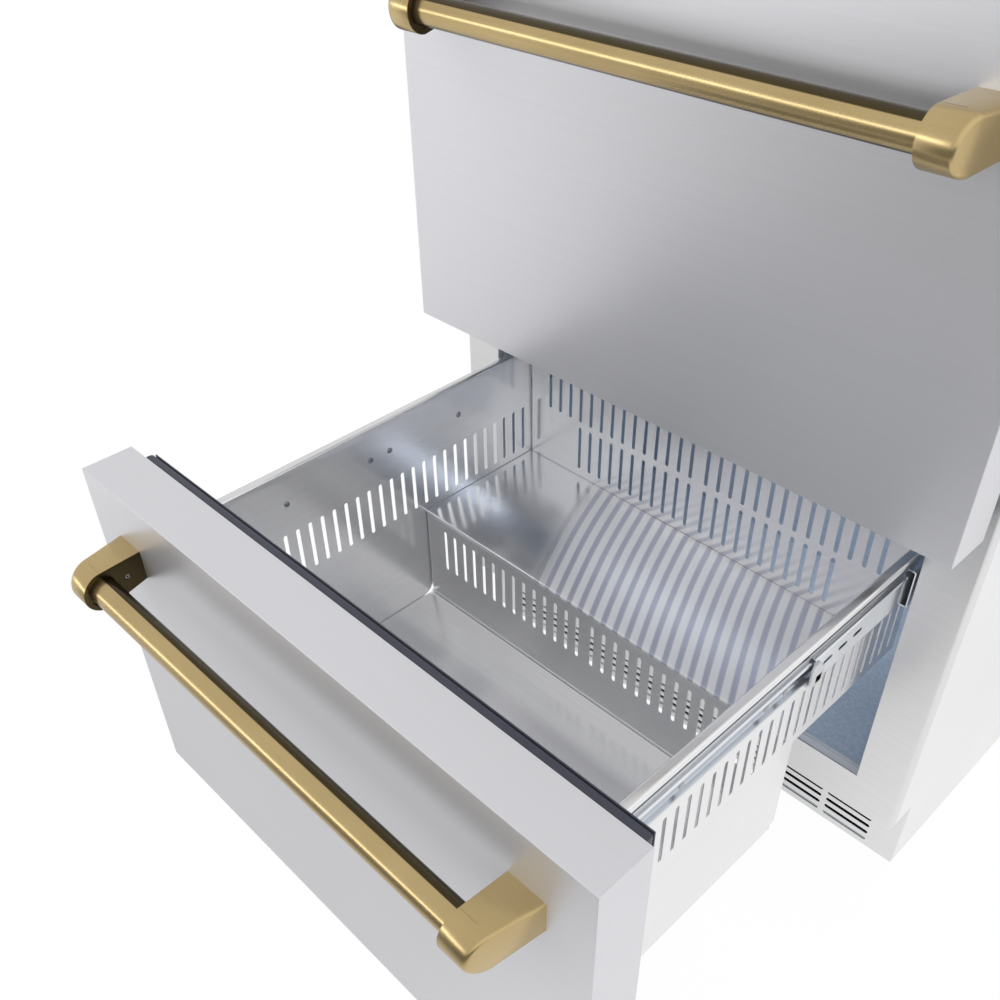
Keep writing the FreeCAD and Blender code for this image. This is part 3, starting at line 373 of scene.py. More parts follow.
class Shape:
    def __init__(self):
        self.mesh = bmesh.new()

    def point(self, axis, along, u, v):
        order = {"X": (along, u, v), "Y": (u, along, v), "Z": (u, v, along)}[axis]
        return self.mesh.verts.new([c * mm for c in order])

    def close(self, faces, soft=0.0, steps=2):
        bmesh.ops.recalc_face_normals(self.mesh, faces=faces)
        if soft:
            edges = [e for e in dict.fromkeys(e for f in faces for e in f.edges)
                     if len(e.link_faces) == 2 and e.calc_face_angle(0) > creaseAngle]
            self.bevel(edges, soft, steps)

    def bevel(self, edges, width, steps):
        bmesh.ops.bevel(self.mesh, geom=edges, offset=width * mm, segments=steps,
                        profile=0.5, affect="EDGES", clamp_overlap=True)

    def walls(self, near, on):
        count = len(near)
        return [self.mesh.faces.new((near[i], near[(i + 1) % count], on[(i + 1) % count], on[i]))
                for i in range(count)]

    # An outline drawn out along an axis
    def prism(self, axis, outline, low, high, soft=0.0, steps=2):
        rings = [[self.point(axis, along, *p) for p in outline] for along in (low, high)]
        return self.skin(rings, soft, steps)

    def skin(self, rings, soft=0.0, steps=2):
        faces = [self.mesh.faces.new(rings[0]), self.mesh.faces.new(rings[-1])]
        for near, on in zip(rings, rings[1:]):
            faces += self.walls(near, on)
        self.close(faces, soft, steps)
        return self

    def block(self, x0, x1, y0, y1, z0, z1, soft=0.3):
        return self.prism("X", rectangle(y0, y1, z0, z1), x0, x1, soft)

    # A closed section carried round a rectangle; its first measure grows towards the middle
    def framed(self, section, x0, x1, z0, z1):
        corners = ((x0, z0, 1, 1), (x1, z0, -1, 1), (x1, z1, -1, -1), (x0, z1, 1, -1))
        rings = [[self.point("Y", y, x + right * inset, z + up * inset) for inset, y in section]
                 for x, z, right, up in corners]
        self.close([face for near, on in zip(rings, rings[1:] + rings[:1])
                    for face in self.walls(near, on)])
        return self

    def turned(self, axis, centre, profile, sides=40, ring=False):
        rings = []
        for radius, along in profile:
            turns = [2 * math.pi * i / sides for i in range(sides if radius else 1)]
            rings.append([
                self.point(axis, along, centre[0] + radius * math.cos(a),
                           centre[1] + radius * math.sin(a)) for a in turns])
        faces = []
        if ring:
            rings.append(rings[0])
        for near, on in zip(rings, rings[1:]):
            for i in range(sides):
                j = i + 1
                corners = [near[i % len(near)], near[j % len(near)],
                           on[j % len(on)], on[i % len(on)]]
                faces.append(self.mesh.faces.new(list(dict.fromkeys(corners))))
        if not ring:
            faces += [self.mesh.faces.new(r) for r in (rings[0], rings[-1]) if len(r) > 1]
        self.close(faces)
        return self

    # A flat sheet with holes, filled between curves, with its edges broken
    def plate(self, axis, middle, thick, outline, holes, soft=0.15):
        curve = bpy.data.curves.new("plate", "CURVE")
        curve.dimensions = "2D"
        curve.fill_mode = "BOTH"
        for points in [outline] + [hole[::-1] for hole in holes]:
            spline = curve.splines.new("POLY")
            spline.points.add(len(points) - 1)
            for p, (u, v) in zip(spline.points, points):
                p.co = (u, v, 0, 1)
            spline.use_cyclic_u = True
        curve.extrude = thick / 2 - soft
        curve.bevel_depth = soft
        curve.bevel_resolution = 0
        curve.offset = -soft
        holder = bpy.data.objects.new("plate", curve)
        scene.collection.objects.link(holder)
        flat = bpy.data.meshes.new_from_object(
            holder.evaluated_get(bpy.context.evaluated_depsgraph_get()))
        made = [self.point(axis, middle + v.co.z, v.co.x, v.co.y) for v in flat.vertices]
        faces = [self.mesh.faces.new([made[i] for i in f.vertices]) for f in flat.polygons]
        bmesh.ops.remove_doubles(self.mesh, verts=made, dist=0.001 * mm)
        self.close([f for f in faces if f.is_valid])
        bpy.data.objects.remove(holder)
        bpy.data.curves.remove(curve)
        bpy.data.meshes.remove(flat)
        return self

    def mirrored(self):
        made = bmesh.ops.duplicate(self.mesh, geom=self.mesh.faces[:])["geom"]
        for v in made:
            if isinstance(v, bmesh.types.BMVert):
                v.co.x = -v.co.x
        bmesh.ops.reverse_faces(
            self.mesh, faces=[f for f in made if isinstance(f, bmesh.types.BMFace)])
        return self

    def asObject(self, name):
        mesh = bpy.data.meshes.new(name)
        self.mesh.to_mesh(mesh)
        thing = bpy.data.objects.new(name, mesh)
        scene.collection.objects.link(thing)
        return thing

    def join(self, other):
        loose = bpy.data.meshes.new("loose")
        other.mesh.to_mesh(loose)
        self.mesh.from_mesh(loose)
        bpy.data.meshes.remove(loose)
        return self

    def cut(self, tool):
        body, knife = self.asObject("body"), tool.asObject("knife")
        change = body.modifiers.new("cut", "BOOLEAN")
        change.object = knife
        change.operation = "DIFFERENCE"
        change.solver = "EXACT"
        mesh = bpy.data.meshes.new_from_object(
            body.evaluated_get(bpy.context.evaluated_depsgraph_get()))
        self.mesh.clear()
        self.mesh.from_mesh(mesh)
        used = [body.data, knife.data, mesh]
        bpy.data.objects.remove(body)
        bpy.data.objects.remove(knife)
        for left in used:
            bpy.data.meshes.remove(left)
        return self

    def done(self, name, node, look=None, sharp=28.0):
        thing = self.asObject(name)
        self.mesh.free()
        thing.data.shade_smooth()
        thing.data.set_sharp_from_angle(angle=math.radians(sharp))
        thing.data.materials.append(look or looks[slotOf[node]])
        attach(thing, frame["nodes"][node]["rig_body"])
        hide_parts(node)


# A fold that laps a flat sheet is this much thicker, so that no two faces coincide
lap = 0.04


# Baskets
basket = {
    "sheet": 1.0, "slotWidth": 4.5, "gap": 0.9, "bend": 1.2,
    "side": {"pitch": 15.05, "length": 55.2, "drop": 71.2, "last": 13.2, "count": 24},
    "back": {"pitch": 15.2, "first": 10.0, "rows": ((14, 9.7, 54.0), (11, 70.7, 54.0))},
    "riser": {"count": 14, "drop": 14.5, "length": 54.0},
    "rimWall": 9.0, "rimLip": 6.0, "rimBend": 2.2, "heel": 20.0, "heelBehind": 3.5,
    "lip": 2.4, "foot": 3.2, "backBend": 2.0, "backFlange": 3.4, "stepBend": 1.3,
    "flangeFrom": 9.0, "flangePast": 0.2, "flangeTop": 0.1, "flangeLow": 0.6,
    "riserInset": 2.2, "riserFlange": 7.0, "riserBelowStep": 1.0,
    "studs": (-177.0, -172.5), "studHeight": 336.3,
    "stud": ((0.9, 0.4), (0.9, -0.3), (0.4, -0.6), (0, -0.6)),
}


def basketSides(level):
    x0, y0, z0, x1, y1, top = span("basket_side_right_" + level)
    t, row = basket["sheet"], basket["side"]
    last = span("basket_back_" + level).y0 - row["last"]
    low = top - row["drop"] - row["length"]
    holes = [slotRing(last - i * row["pitch"], low, row["length"], basket["slotWidth"])
             for i in range(row["count"])]
    wallTop = top - basket["rimWall"]
    if level == "lower":
        heel = span("basket_riser_lower").y0 + basket["heelBehind"]
        step = span("basket_step_lower").z0
        r = basket["heel"]
        outline = [(y0, z0)] + arc((heel - r, z0 + r), r, -90, 0, 10)
        outline += [(heel, step), (y1, step), (y1, wallTop), (y0, wallTop)]
    else:
        outline = rectangle(y0, y1, z0, wallTop)
    for side, word in ((1, "Right"), (-1, "Left")):
        inner, outer = side * (x0 + t / 2), side * (x1 - t / 2)
        rim = folded([
            (inner, wallTop - 1), (inner, top - t / 2),
            (outer, top - t / 2), (outer, top - basket["rimLip"]),
        ], t + lap, basket["rimBend"])
        node = "basket_side_" + word.lower() + "_" + level
        Shape().plate("X", inner, t, outline, holes).prism("Y", rim, y0, y1).done(
            "basket" + word + level.title(), node, basketSide)


def backHoles(rows, top):
    row = basket["back"]
    return [slotRing(side * (row["first"] + k * row["pitch"]), top - drop - length,
                     length, basket["slotWidth"])
            for count, drop, length in rows for k in range(count) for side in (-1, 1)]


def basketBack(level):
    x0, y0, z0, x1, y1, top = span("basket_back_" + level)
    t, reach, middle = basket["sheet"], basket["backFlange"], (y0 + y1) / 2
    shape = Shape().plate("Y", middle, t, rectangle(x0 + reach, x1 - reach, z0, top),
                          backHoles(basket["back"]["rows"], top))
    end = x1 - basket["gap"]
    edge = folded([(x1 - reach - 1, middle), (end, middle), (end, y1 + 2)],
                  t + lap, basket["backBend"])
    for side in (-1, 1):
        shape.prism("Z", [(side * x, y) for x, y in edge], z0, top)
    if level == "lower":
        # Pair of small rivets where the back is joined to the step
        for x in basket["studs"]:
            shape.turned("Y", (x, basket["studHeight"]),
                         [(r, y0 + out) for r, out in basket["stud"]], 12)
    shape.done("basketBack" + level.title(), "basket_back_" + level, basketAcross)


# Narrow flanges under the two ends of a floor, where it lies on the side sheets
def floorFlanges(shape, edge, y0, y1, z):
    for side in (-1, 1):
        ends = (edge - basket["flangeFrom"], edge + basket["flangePast"])
        shape.block(*sorted(side * x for x in ends), y0, y1,
                    z - basket["flangeLow"], z - basket["flangeTop"], 0)


def basketFloor(level):
    floor = span("basket_floor_" + level)
    t, gap = basket["sheet"], basket["gap"]
    if level == "upper":
        rear = floor.y1 - t / 2 + 0.1
    else:
        rear = span("basket_riser_lower").y0 - gap / 2
    middle = floor.z1 - t / 2
    line = folded([(floor.y0, middle), (rear, middle), (rear, floor.z1 + basket["foot"])],
                  t, basket["bend"])
    shape = Shape().prism("X", line, floor.x0 + gap, floor.x1 - gap)
    floorFlanges(shape, floor.x1, floor.y0, rear, floor.z0)
    shape.done("basketFloor" + level.title(), "basket_floor_" + level, basketAcross)


def basketHump():
    riser, step = span("basket_riser_lower"), span("basket_step_lower")
    t, gap, row = basket["sheet"], basket["gap"], basket["riser"]
    low, top = riser.z0 + 1, step.z1 - basket["lip"] - basket["riserBelowStep"]
    middle, end = (riser.y0 + riser.y1) / 2, riser.x1 - gap
    inset = basket["riserInset"]
    holes = backHoles(((row["count"], row["drop"], row["length"]),), step.z1)
    shape = Shape().plate("Y", middle, t, rectangle(-end + inset, end - inset, low, top), holes)
    flange = folded([
        (end - inset - 1, middle), (end - t / 2, middle),
        (end - t / 2, middle + basket["riserFlange"]),
    ], t + lap, basket["bend"])
    for side in (-1, 1):
        shape.prism("Z", [(side * x, y) for x, y in flange], low, top)
    shape.done("basketRiser", "basket_riser_lower", basketAcross)

    front, flat = riser.y0 + t / 2, step.z1 - t / 2
    line = folded([(step.y1 - 0.6, flat), (front, flat), (front, step.z1 - basket["lip"])],
                  t, basket["stepBend"])
    shape = Shape().prism("X", line, step.x0 + gap, step.x1 - gap)
    floorFlanges(shape, step.x1, step.y0 + 2, step.y1, step.z0)
    shape.done("basketStep", "basket_step_lower", stepSteelPaintedBands())


# Painted reflections: the raised floor carries soft light bands painted into its colour, in step
# with the slots of the back; they lean and bow with the distance from the back, and begin at one
# place across
paintedReflectionBands = {
    "pitch": 0.0152, "lean": 0.36, "bow": 0.5, "start": (-0.16, -0.115), "share": 0.85,
    "plain": (srgb(234, 235, 240), srgb(246, 247, 250)),
    "paintedBandColour": (srgb(190, 192, 210), srgb(254, 254, 255)),
}


def stepSteelPaintedBands():
    material, sheet = newMaterial("stepSteelPaintedBands")
    east, north = sheet.axes()[:2]
    lines = sheet.noise(sheet.place((8.0, 1500.0, 1500.0)), 1.0, 3.0, 0.6)
    broad = sheet.noise(sheet.place(), 9.0)
    away = span("basket_back_lower").y0 * mm - north
    along = east - away * paintedReflectionBands["lean"] - away * away * paintedReflectionBands["bow"]
    turn = along * (2 * math.pi / paintedReflectionBands["pitch"]) + broad * 0.7
    wave = sheet.add("Math", {"operation": "SINE"}, {0: turn})
    paintedBand = sheet.range(wave, -0.75, 0.25, 0, 1, True)
    reach = sheet.range(along, *paintedReflectionBands["start"], 0, 1, True)
    plain = sheet.blend(lines, *paintedReflectionBands["plain"])
    paintedBandColour = sheet.blend(paintedBand, *paintedReflectionBands["paintedBandColour"])
    # Base colour: the painted reflection bands laid over the plain steel
    closeMaterial(sheet, {
        "Base Color": sheet.blend(reach * paintedReflectionBands["share"], plain, paintedBandColour),
        "Roughness": 0.17 + reach * (0.15 + paintedBand * 0.1) + (lines - 0.5) * 0.08,
        "Metallic": 0.84 - reach * 0.34,
    }, sheet.bump(lines, 0.00001))
    return material


# Sheet steel of the baskets, brushed along the walls and across the floors
basketSide = brushedMetal("basketSideSteel", {
    "dark": srgb(230, 230, 231), "light": srgb(242, 242, 243), "rough": 0.2,
    "along": "Y", "grain": (1500.0, 8.0), "bump": 0.00001, "metal": 0.86,
})
basketAcross = looks["basket_steel"]

for level in ("lower", "upper"):
    basketSides(level)
    basketBack(level)
    basketFloor(level)
    if level == "lower":
        basketHump()
print("baskets done")


# Slides: three members each, rolled lips, ball cages with their balls, white catches
slide = {
    "sheet": 1.2, "bend": 0.9, "innerLip": 2.4, "innerDraft": 0.7, "innerThin": 0.9,
    "rib": ((0, 3.0), (0.9, 1.6)), "ribEnds": (26.0, 30.0),
    "middleFlat": 2.0, "middleLap": 2.6, "middleTip": 1.8, "lipEnd": 1.6,
    "hole": (13.0, 4.2), "holeFirst": 14.0, "holePitch": 22.0, "holeRise": 1.5, "holes": 3,
    "outerHalf": 20.0, "outerTip": 2.2, "catchFace": 8.4, "catchHook": 3.8, "catchGap": 0.3,
}
sheetEdge = {level: span("basket_side_right_" + level).x0 + 1 for level in ("lower", "upper")}

# Each cage's place off its race, the strip's section and one ball's outline along the slide
cages = {
    "length": 90.0, "front": 6.0, "thick": 0.5, "from": 3.9, "balls": 9, "pitch": 9.5,
    "inner": {"gap": 1.5, "low": 0.9, "lip": 1.1, "to": 5.7, "centre": 4.4,
              "ball": ((0, 5.0), (1.05, 5.4), (1.4, 6.4), (1.05, 7.4), (0, 7.8))},
    "outer": {"gap": 1.6, "low": 1.2, "lip": 1.4, "to": 5.9, "centre": 4.6,
              "ball": ((0, 5.0), (1.1, 5.4), (1.5, 6.5), (1.1, 7.6), (0, 8.0))},
}


# Middle line of a channel about a height, from its upper half given from lip to web
def channel(z, upper):
    return [(x, z + up) for x, up in upper] + [(x, z - up) for x, up in upper[::-1]]


def heights(part):
    return (part.z0 + part.z1) / 2, (part.z1 - part.z0) / 2


def slideInner(level):
    base, t = sheetEdge[level], slide["sheet"]
    member = span("slide_inner_" + level)
    z, half = heights(member)
    line = channel(z, [
        (member.x1, half - slide["innerLip"]), (member.x1 - slide["innerDraft"], half - t / 2),
        (base + t / 2, half - t / 2),
    ])
    shape = Shape().prism("Y", folded(line, t * slide["innerThin"], slide["bend"], 3),
                          member.y0, member.y1)
    # Pressed rib along the web
    rib = [(base + t + out, z - up) for out, up in slide["rib"]]
    rib += [(base + t + out, z + up) for out, up in slide["rib"][::-1]]
    ahead, behind = slide["ribEnds"]
    shape.prism("Y", rib, member.y0 + ahead, member.y1 - behind, 0.2)
    shape.mirrored().done("slideInner" + level.title(), "slide_inner_" + level)


def slideMiddle(level):
    t = slide["sheet"]
    member = span("slide_middle_" + level)
    z, half = heights(member)
    web, tip = member.x1 - t / 2, sheetEdge[level] + slide["middleTip"] + t / 2
    length, width = slide["hole"]
    first = member.y0 + slide["holeFirst"]
    holes = [slotRing(z + slide["holeRise"], first + k * slide["holePitch"], length, width, False)
             for k in range(slide["holes"])]
    flat = half - slide["middleFlat"]
    outline = rectangle(member.y0, member.y1, z - flat, z + flat)
    shape = Shape().plate("X", web, t, outline, holes, 0.1)
    for side in (-1, 1):
        line = [(x, z + side * up) for x, up in (
            (web, half - slide["middleLap"]), (web, half - t / 2),
            (tip, half - t / 2), (tip, half - t - slide["lipEnd"]))]
        shape.prism("Y", folded(line, t, slide["bend"], 3), member.y0, member.y1)
    shape.mirrored().done("slideMiddle" + level.title(), "slide_middle_" + level)


def ballCages(level):
    base, middle = sheetEdge[level], span("slide_middle_" + level)
    z, outerRace = heights(middle)
    innerRace = heights(span("slide_inner_" + level))[1]
    starts = middle.y0 + cages["front"], span("ball_retainers_" + level).y1 - cages["length"]
    shape = Shape()
    for race, start, cage in ((innerRace, starts[0], cages["inner"]),
                              (outerRace, starts[1], cages["outer"])):
        for side in (-1, 1):
            edge = z + side * (race + cage["gap"])
            strip = folded([
                (base + cages["from"], edge - side * cage["low"]),
                (base + cage["to"], edge - side * cage["low"]),
                (base + cage["to"], edge + side * cage["lip"]),
            ], cages["thick"], cages["thick"], 3)
            shape.prism("Y", strip, start, start + cages["length"])
            for k in range(cages["balls"]):
                shape.turned("Y", (base + cage["centre"], edge), [
                    (r, start + along + k * cages["pitch"]) for r, along in cage["ball"]], 10)
    shape.mirrored().done("ballCages" + level.title(), "ball_retainers_" + level, None, 40)


def slideCatches(level):
    t, face = slide["sheet"], sheetEdge[level] + slide["catchFace"]
    y0, z0, x1, y1, z1 = span("slide_catches_" + level)[1:]
    middle = span("slide_middle_" + level)
    z = heights(middle)[0]
    # Lever: slanted nose below, a step at the finger side, rounded off above
    outline = [(y0, z0 + 6), (y0 + 5, z0), (y1 - 6, z0), (y1, z0 + 5), (y1, z + 2),
               (y1 - 5, z + 5), (y1 - 7, z1), (y0 + 2, z1), (y0, z1 - 3)]
    gap = slide["catchGap"]
    shape = Shape().prism("X", outline, face, x1, 0.6, 3)
    shape.block(face - slide["catchHook"], face, y0, middle.y0 - gap,
                z0 + t, span("slide_inner_" + level).z0 - gap)
    # Raised thumb pad
    shape.block(face + 1.6, x1, y0 + 7, y1 - 3, z0 + 3, z - 4, 0.2)
    shape.mirrored().done("slideCatches" + level.title(), "slide_catches_" + level)


def outerMembers():
    t, half = slide["sheet"], slide["outerHalf"]
    outer = span("slide_outer")
    web = outer.x1 - t / 2
    shape = Shape()
    for level in ("lower", "upper"):
        z = heights(span("slide_inner_" + level))[0]
        tip = sheetEdge[level] + slide["outerTip"] + t / 2
        line = channel(z, [
            (tip, half - t - slide["lipEnd"]), (tip, half - t / 2), (web, half - t / 2)])
        shape.prism("Y", folded(line, t, 1.0, 3), outer.y0, outer.y1)
    shape.mirrored().done("slideOuter", "slide_outer")


# Rivets through basket side and slide: radius and height of head and tail, and their places
rivet = {
    "places": (108.1, 212.1, 237.1, 333.1),
    "head": ((3.2, 0), (3.1, 0.5), (2.7, 0.9), (2.2, 1.0), (1.8, 0.9), (1.5, 0.15), (0.7, 0.1),
             (0, 0.5)),
    "tail": ((3.2, 0), (3.0, 0.55), (2.0, 1.0), (0, 1.0)),
}
# Set screws on the inner faces of the posts
grub = {"out": 16.4, "up": 1.0, "sunk": 0.8, "radius": 2.4, "length": 6.0, "broken": 0.4,
        "key": 1.3, "keyDepth": 2.2, "hole": 2.6, "holeDepth": 7.0}


def fasteners(level):
    side, inner = span("basket_side_right_" + level), span("slide_inner_" + level)
    z, web = heights(inner)[0], inner.x0 + slide["sheet"]
    shape = Shape()
    for place in rivet["places"]:
        centre = (side.y0 + place, z)
        shape.turned("X", centre, [(r, side.x0 - out) for r, out in rivet["head"]], 24)
        shape.turned("X", centre, [(r, web + out) for r, out in rivet["tail"]], 24)
    post = postPlace(level)
    near, r, edge = post["inner"](grub["out"]) + grub["sunk"], grub["radius"], grub["broken"]
    far = near + grub["length"]
    screw = Shape().turned("X", post["grub"], [
        (0, far), (r, far), (r, near + edge), (r - edge, near), (0, near)], 24)
    hexagon = arc(post["grub"], grub["key"], 0, 300, 5)
    screw.cut(Shape().prism("X", hexagon, near - 1, near + grub["keyDepth"]))
    shape.join(screw).mirrored().done("fasteners" + level.title(), "drawer_fasteners_" + level)


# Handles
handle = {
    "bar": 12.3, "barEdge": 0.8, "offset": 39.2, "nose": 19.0, "below": 11.0, "edge": 3.6,
    "inner": (225.5, 222.0), "outer": (260.0, 247.5), "ring": (14.4, 1.5), "bore": (12.6, 14.3),
    "groove": (0.25, 0.35), "grooveLength": (2.0, 17.0),
}


# The posts' faces at a distance out from the front, from root to nose
def postPlace(level):
    face, bar = span("front_panel_" + level).y0, span("handle_bar_" + level)
    z = heights(bar)[0]

    def across(which):
        root, tip = handle[which]
        return lambda out: root + (tip - root) * out / (handle["offset"] + handle["nose"])

    return {"face": face, "z": z, "grub": (face - grub["out"], z + grub["up"]),
            "inner": across("inner"), "outer": across("outer")}


def handleParts(level):
    post = postPlace(level)
    face, z, r, big = post["face"], post["z"], handle["nose"], handle["edge"]
    line = face - handle["offset"]
    # Inset of the outline and distance back from the inner or outer face, for rounded edges
    edges = [("inner", 0.6, 0.0), ("inner", 0.18, 0.18), ("inner", 0.0, 0.6)]
    for turn in [math.pi / 2 * step / 6 for step in range(7)]:
        edges.append(("outer", big * (1 - math.cos(turn)), -big * (1 - math.sin(turn))))
    shape, rings = Shape(), []
    for which, inset, along in edges:
        ring = [(face, z - handle["below"] + inset * 0.3), (face, z + r - inset)]
        ring += arc((line, z), r - inset, 90, 270, 30)
        rings.append([shape.point("X", post[which](face - y) + along, y, v) for y, v in ring])
    shape.skin(rings)
    inner, hole = post["inner"](handle["offset"]), post["inner"](grub["out"])
    (mouth, rim), (bore, end) = handle["ring"], handle["bore"]
    clear, deep = hole - 6, hole + grub["holeDepth"]
    shape.cut(Shape().turned("X", (line, z), [
        (0, inner - 6), (mouth, inner - 6), (mouth, inner + rim), (bore, inner + rim),
        (bore, inner + end), (0, inner + end)], 64,
    ).turned("X", post["grub"], [
        (0, clear), (grub["hole"], clear), (grub["hole"], deep), (0, deep)], 24))
    (wide, low), (ahead, behind) = handle["groove"], handle["grooveLength"]
    shape.cut(Shape().block(inner - ahead, inner + behind, line - wide, line + wide,
                            z + r - low, z + r + 1, 0))
    shape.mirrored().done("handlePosts" + level.title(), "handle_posts_" + level, None, 24)
    bar, radius, edge = span("handle_bar_" + level), handle["bar"], handle["barEdge"]
    Shape().turned("X", (line, z), [
        (radius - edge, bar.x0), (radius, bar.x0 + edge),
        (radius, bar.x1 - edge), (radius - edge, bar.x1)], 96,
    ).done("handleBar" + level.title(), "handle_bar_" + level)


for level in ("lower", "upper"):
    handleParts(level)
    slideInner(level)
    slideMiddle(level)
    ballCages(level)
    slideCatches(level)
    fasteners(level)
outerMembers()
print("handles and slides done")


# Drawer fronts and their seals
front = {"skin": 1.0, "soft": 0.9, "sideSoft": 0.6, "linerInset": 0.2, "linerAhead": 1.2}


def frontParts(level):
    x0, y0, z0, x1, y1, z1 = span("front_panel_" + level)
    t, shape = front["skin"], Shape()
    # Pan: outer shell with rounded front edges, and an inner wall of the same sheet
    shape.block(x0, x1, y0, y1, z0, z1, 0)
    ahead = [e for e in shape.mesh.edges if max(v.co.y for v in e.verts) < (y0 + 0.01) * mm]
    shape.bevel(ahead, front["soft"], 5)
    # The four long edges that run back from the front's corners
    deep = (y1 - y0) / 2 * mm
    sides = [e for e in shape.mesh.edges
             if abs(e.verts[0].co.y - e.verts[1].co.y) > deep and e.calc_face_angle(0) > 1]
    shape.bevel(sides, front["sideSoft"], 3)
    shape.cut(Shape().block(x0 + t, x1 - t, y0 + t, y1 + 9, z0 + t, z1 - t, 0))
    shape.done("frontPan" + level.title(), "front_panel_" + level)
    x0, y0, z0, x1, y1, z1 = span("front_liner_" + level)
    inset = front["linerInset"]
    Shape().block(x0 + inset, x1 - inset, y0 - front["linerAhead"], y1,
                  z0 + inset, z1 - inset, 0.5).done(
        "frontBack" + level.title(), "front_liner_" + level)


# The seal's section from its outer edge inwards, in mm, and out from the front, as a share
# of its depth: a groove at the outer side, two lips at the face and a bellows at the inner side
seal = {
    "width": 22.0,
    "outside": ((0.0, 0.0), (0.0, 0.2), (1.6, 0.27), (1.6, 0.34), (0.2, 0.4), (0.0, 0.5),
                (0.3, 0.72), (1.0, 0.8), (3.2, 0.82), (3.2, 0.87), (1.3, 0.9), (1.2, 0.97),
                (2.2, 1.0)),
    "inside": ((2.2, 1.0), (1.2, 0.96), (1.3, 0.88), (3.2, 0.84), (0.6, 0.76), (0.0, 0.5),
               (1.0, 0.3), (0.0, 0.16), (0.0, 0.0)),
}


def sealRing(level):
    x0, y0, z0, x1, y1, z1 = span("gasket_" + level)
    depth, width = y1 - y0, seal["width"]
    section = [(inset, y0 + depth * out) for inset, out in seal["outside"]]
    section += [(width - inset, y0 + depth * out) for inset, out in seal["inside"]]
    Shape().framed(section, x0, x1, z0, z1).done(
        "seal" + level.title(), "gasket_" + level, None, 40)


for level in ("lower", "upper"):
    frontParts(level)
    sealRing(level)
print("fronts done")


# Cabinet face, toe plate with its louvres, strips round the openings
cabinet = {
    "sheet": 1.2, "bend": 3.0, "flat": 4.0,
    "openings": ((-255.2, 255.2, 156.3, 468.0), (-255.2, 255.2, 515.0, 822.2)),
    "louvre": (54.4, 4.4), "pitchX": 60.7, "pitchZ": 11.0, "louvreFirst": 10.0,
    "rows": 5, "columns": 9, "toeInset": 1.6, "toeBend": 0.9, "toeSeam": 0.9,
}


def faceFrame():
    x0, y0, z0, x1, y1, z1 = span("face_frame")
    t, flat, middle = cabinet["sheet"], cabinet["flat"], y0 + cabinet["sheet"] / 2
    openings = [rectangle(*opening) for opening in cabinet["openings"]]
    shape = Shape().plate("Y", middle, t, rectangle(x0 + flat, x1 - flat, z0, z1), openings, 0.45)
    edge = folded([(x1 - flat - 1, middle), (x1 - t / 2, middle), (x1 - t / 2, y1)],
                  t + lap, cabinet["bend"] - t / 2, 8)
    for side in (-1, 1):
        shape.prism("Z", [(side * x, y) for x, y in edge], z0, z1)
    for low in (z1 - t, z0):
        shape.block(x0 + flat, x1 - flat, y0 + t, y1, low, low + t, 0.1)
    shape.done("faceFrame", "face_frame", cabinetFace)


def toePlate():
    x0, y0, z0, x1, y1, z1 = span("toe_kick_grille")
    t, inset, middle = cabinet["sheet"], cabinet["toeInset"], y0 + cabinet["sheet"] / 2
    width, height = cabinet["louvre"]
    first = -(cabinet["columns"] - 1) / 2 * cabinet["pitchX"] - width / 2
    holes = [slotRing(z0 + cabinet["louvreFirst"] + row * cabinet["pitchZ"],
                      first + column * cabinet["pitchX"], width, height, False)
             for column in range(cabinet["columns"]) for row in range(cabinet["rows"])]
    shape = Shape().plate("Y", middle, t, rectangle(x0 + inset, x1 - inset, z0, z1), holes, 0.2)
    for side in (-1, 1):
        line = [(side * x, y) for x, y in (
            (x1 - 2 * t, middle), (x1 - t / 2, middle), (x1 - t / 2, y1 - cabinet["toeSeam"]))]
        shape.prism("Z", folded(line, t + lap, cabinet["toeBend"]), z0, z1)
    shape.done("toePlate", "toe_kick_grille", cabinetFace)
    # A near-black felt screen behind the louvres, painted shade standing for the dark space
    # behind them
    Shape().block(x0 + 12, x1 - 12, y0 + t + 0.1, y1 - 0.4, z0 + 4, z1 - 4, 0.2).done(
        "toeShadeScreen", "toe_kick_grille", looks["felt"])


def breakers():
    frames = span("breaker_frames")
    y0, y1 = frames.y0, frames.y1
    # Section, outwards: lip at the front, shallow channel, rounded rear lip over the liner
    section = ((0.0, y0), (0.0, y0 + 1.2), (1.3, y0 + 1.8), (1.3, y1 - 3.6), (0.2, y1 - 2.6),
               (0.0, y1 - 1.6), (0.3, y1 - 0.4), (0.8, y1), (3.4, y1), (3.4, y0))
    shape = Shape()
    for opening in cabinet["openings"]:
        shape.framed([(-out, y) for out, y in section], *opening)
    shape.done("breakerStrips", "breaker_frames", None, 40)


cabinetFace = brushedMetal("cabinetFaceSteel", {
    "dark": srgb(222, 222, 223), "light": srgb(234, 234, 234), "rough": 0.36,
    "along": "X", "grain": (900.0, 6.0), "bump": 0.00001,
})
faceFrame()
toePlate()
breakers()
print("cabinet face done")


# Outer shell: side and top sheets, rear panel with bracket inserts and beads, machine grille
shell = {
    "soft": 0.35, "sheet": 0.7, "below": 0.3, "screw": 3.4, "screwInset": 11.0,
    "recess": (1.9, 0.35), "recessDepth": 0.3, "topScrews": (-145.0, 0.0, 145.0),
    "insert": (2.1, 4.0), "insertX": 100.0, "insertDrop": 43.8,
    "beads": (-180.0, -60.0, 60.0, 180.0), "beadHalf": 4.0, "beadInset": 70.0,
    "vent": (50.0, 5.0), "ventPitch": (62.0, 14.0), "ventFirst": 90.0, "vents": (7, 3),
    "grilleScrews": (-100.0, 100.0), "grilleTop": 0.4,
}


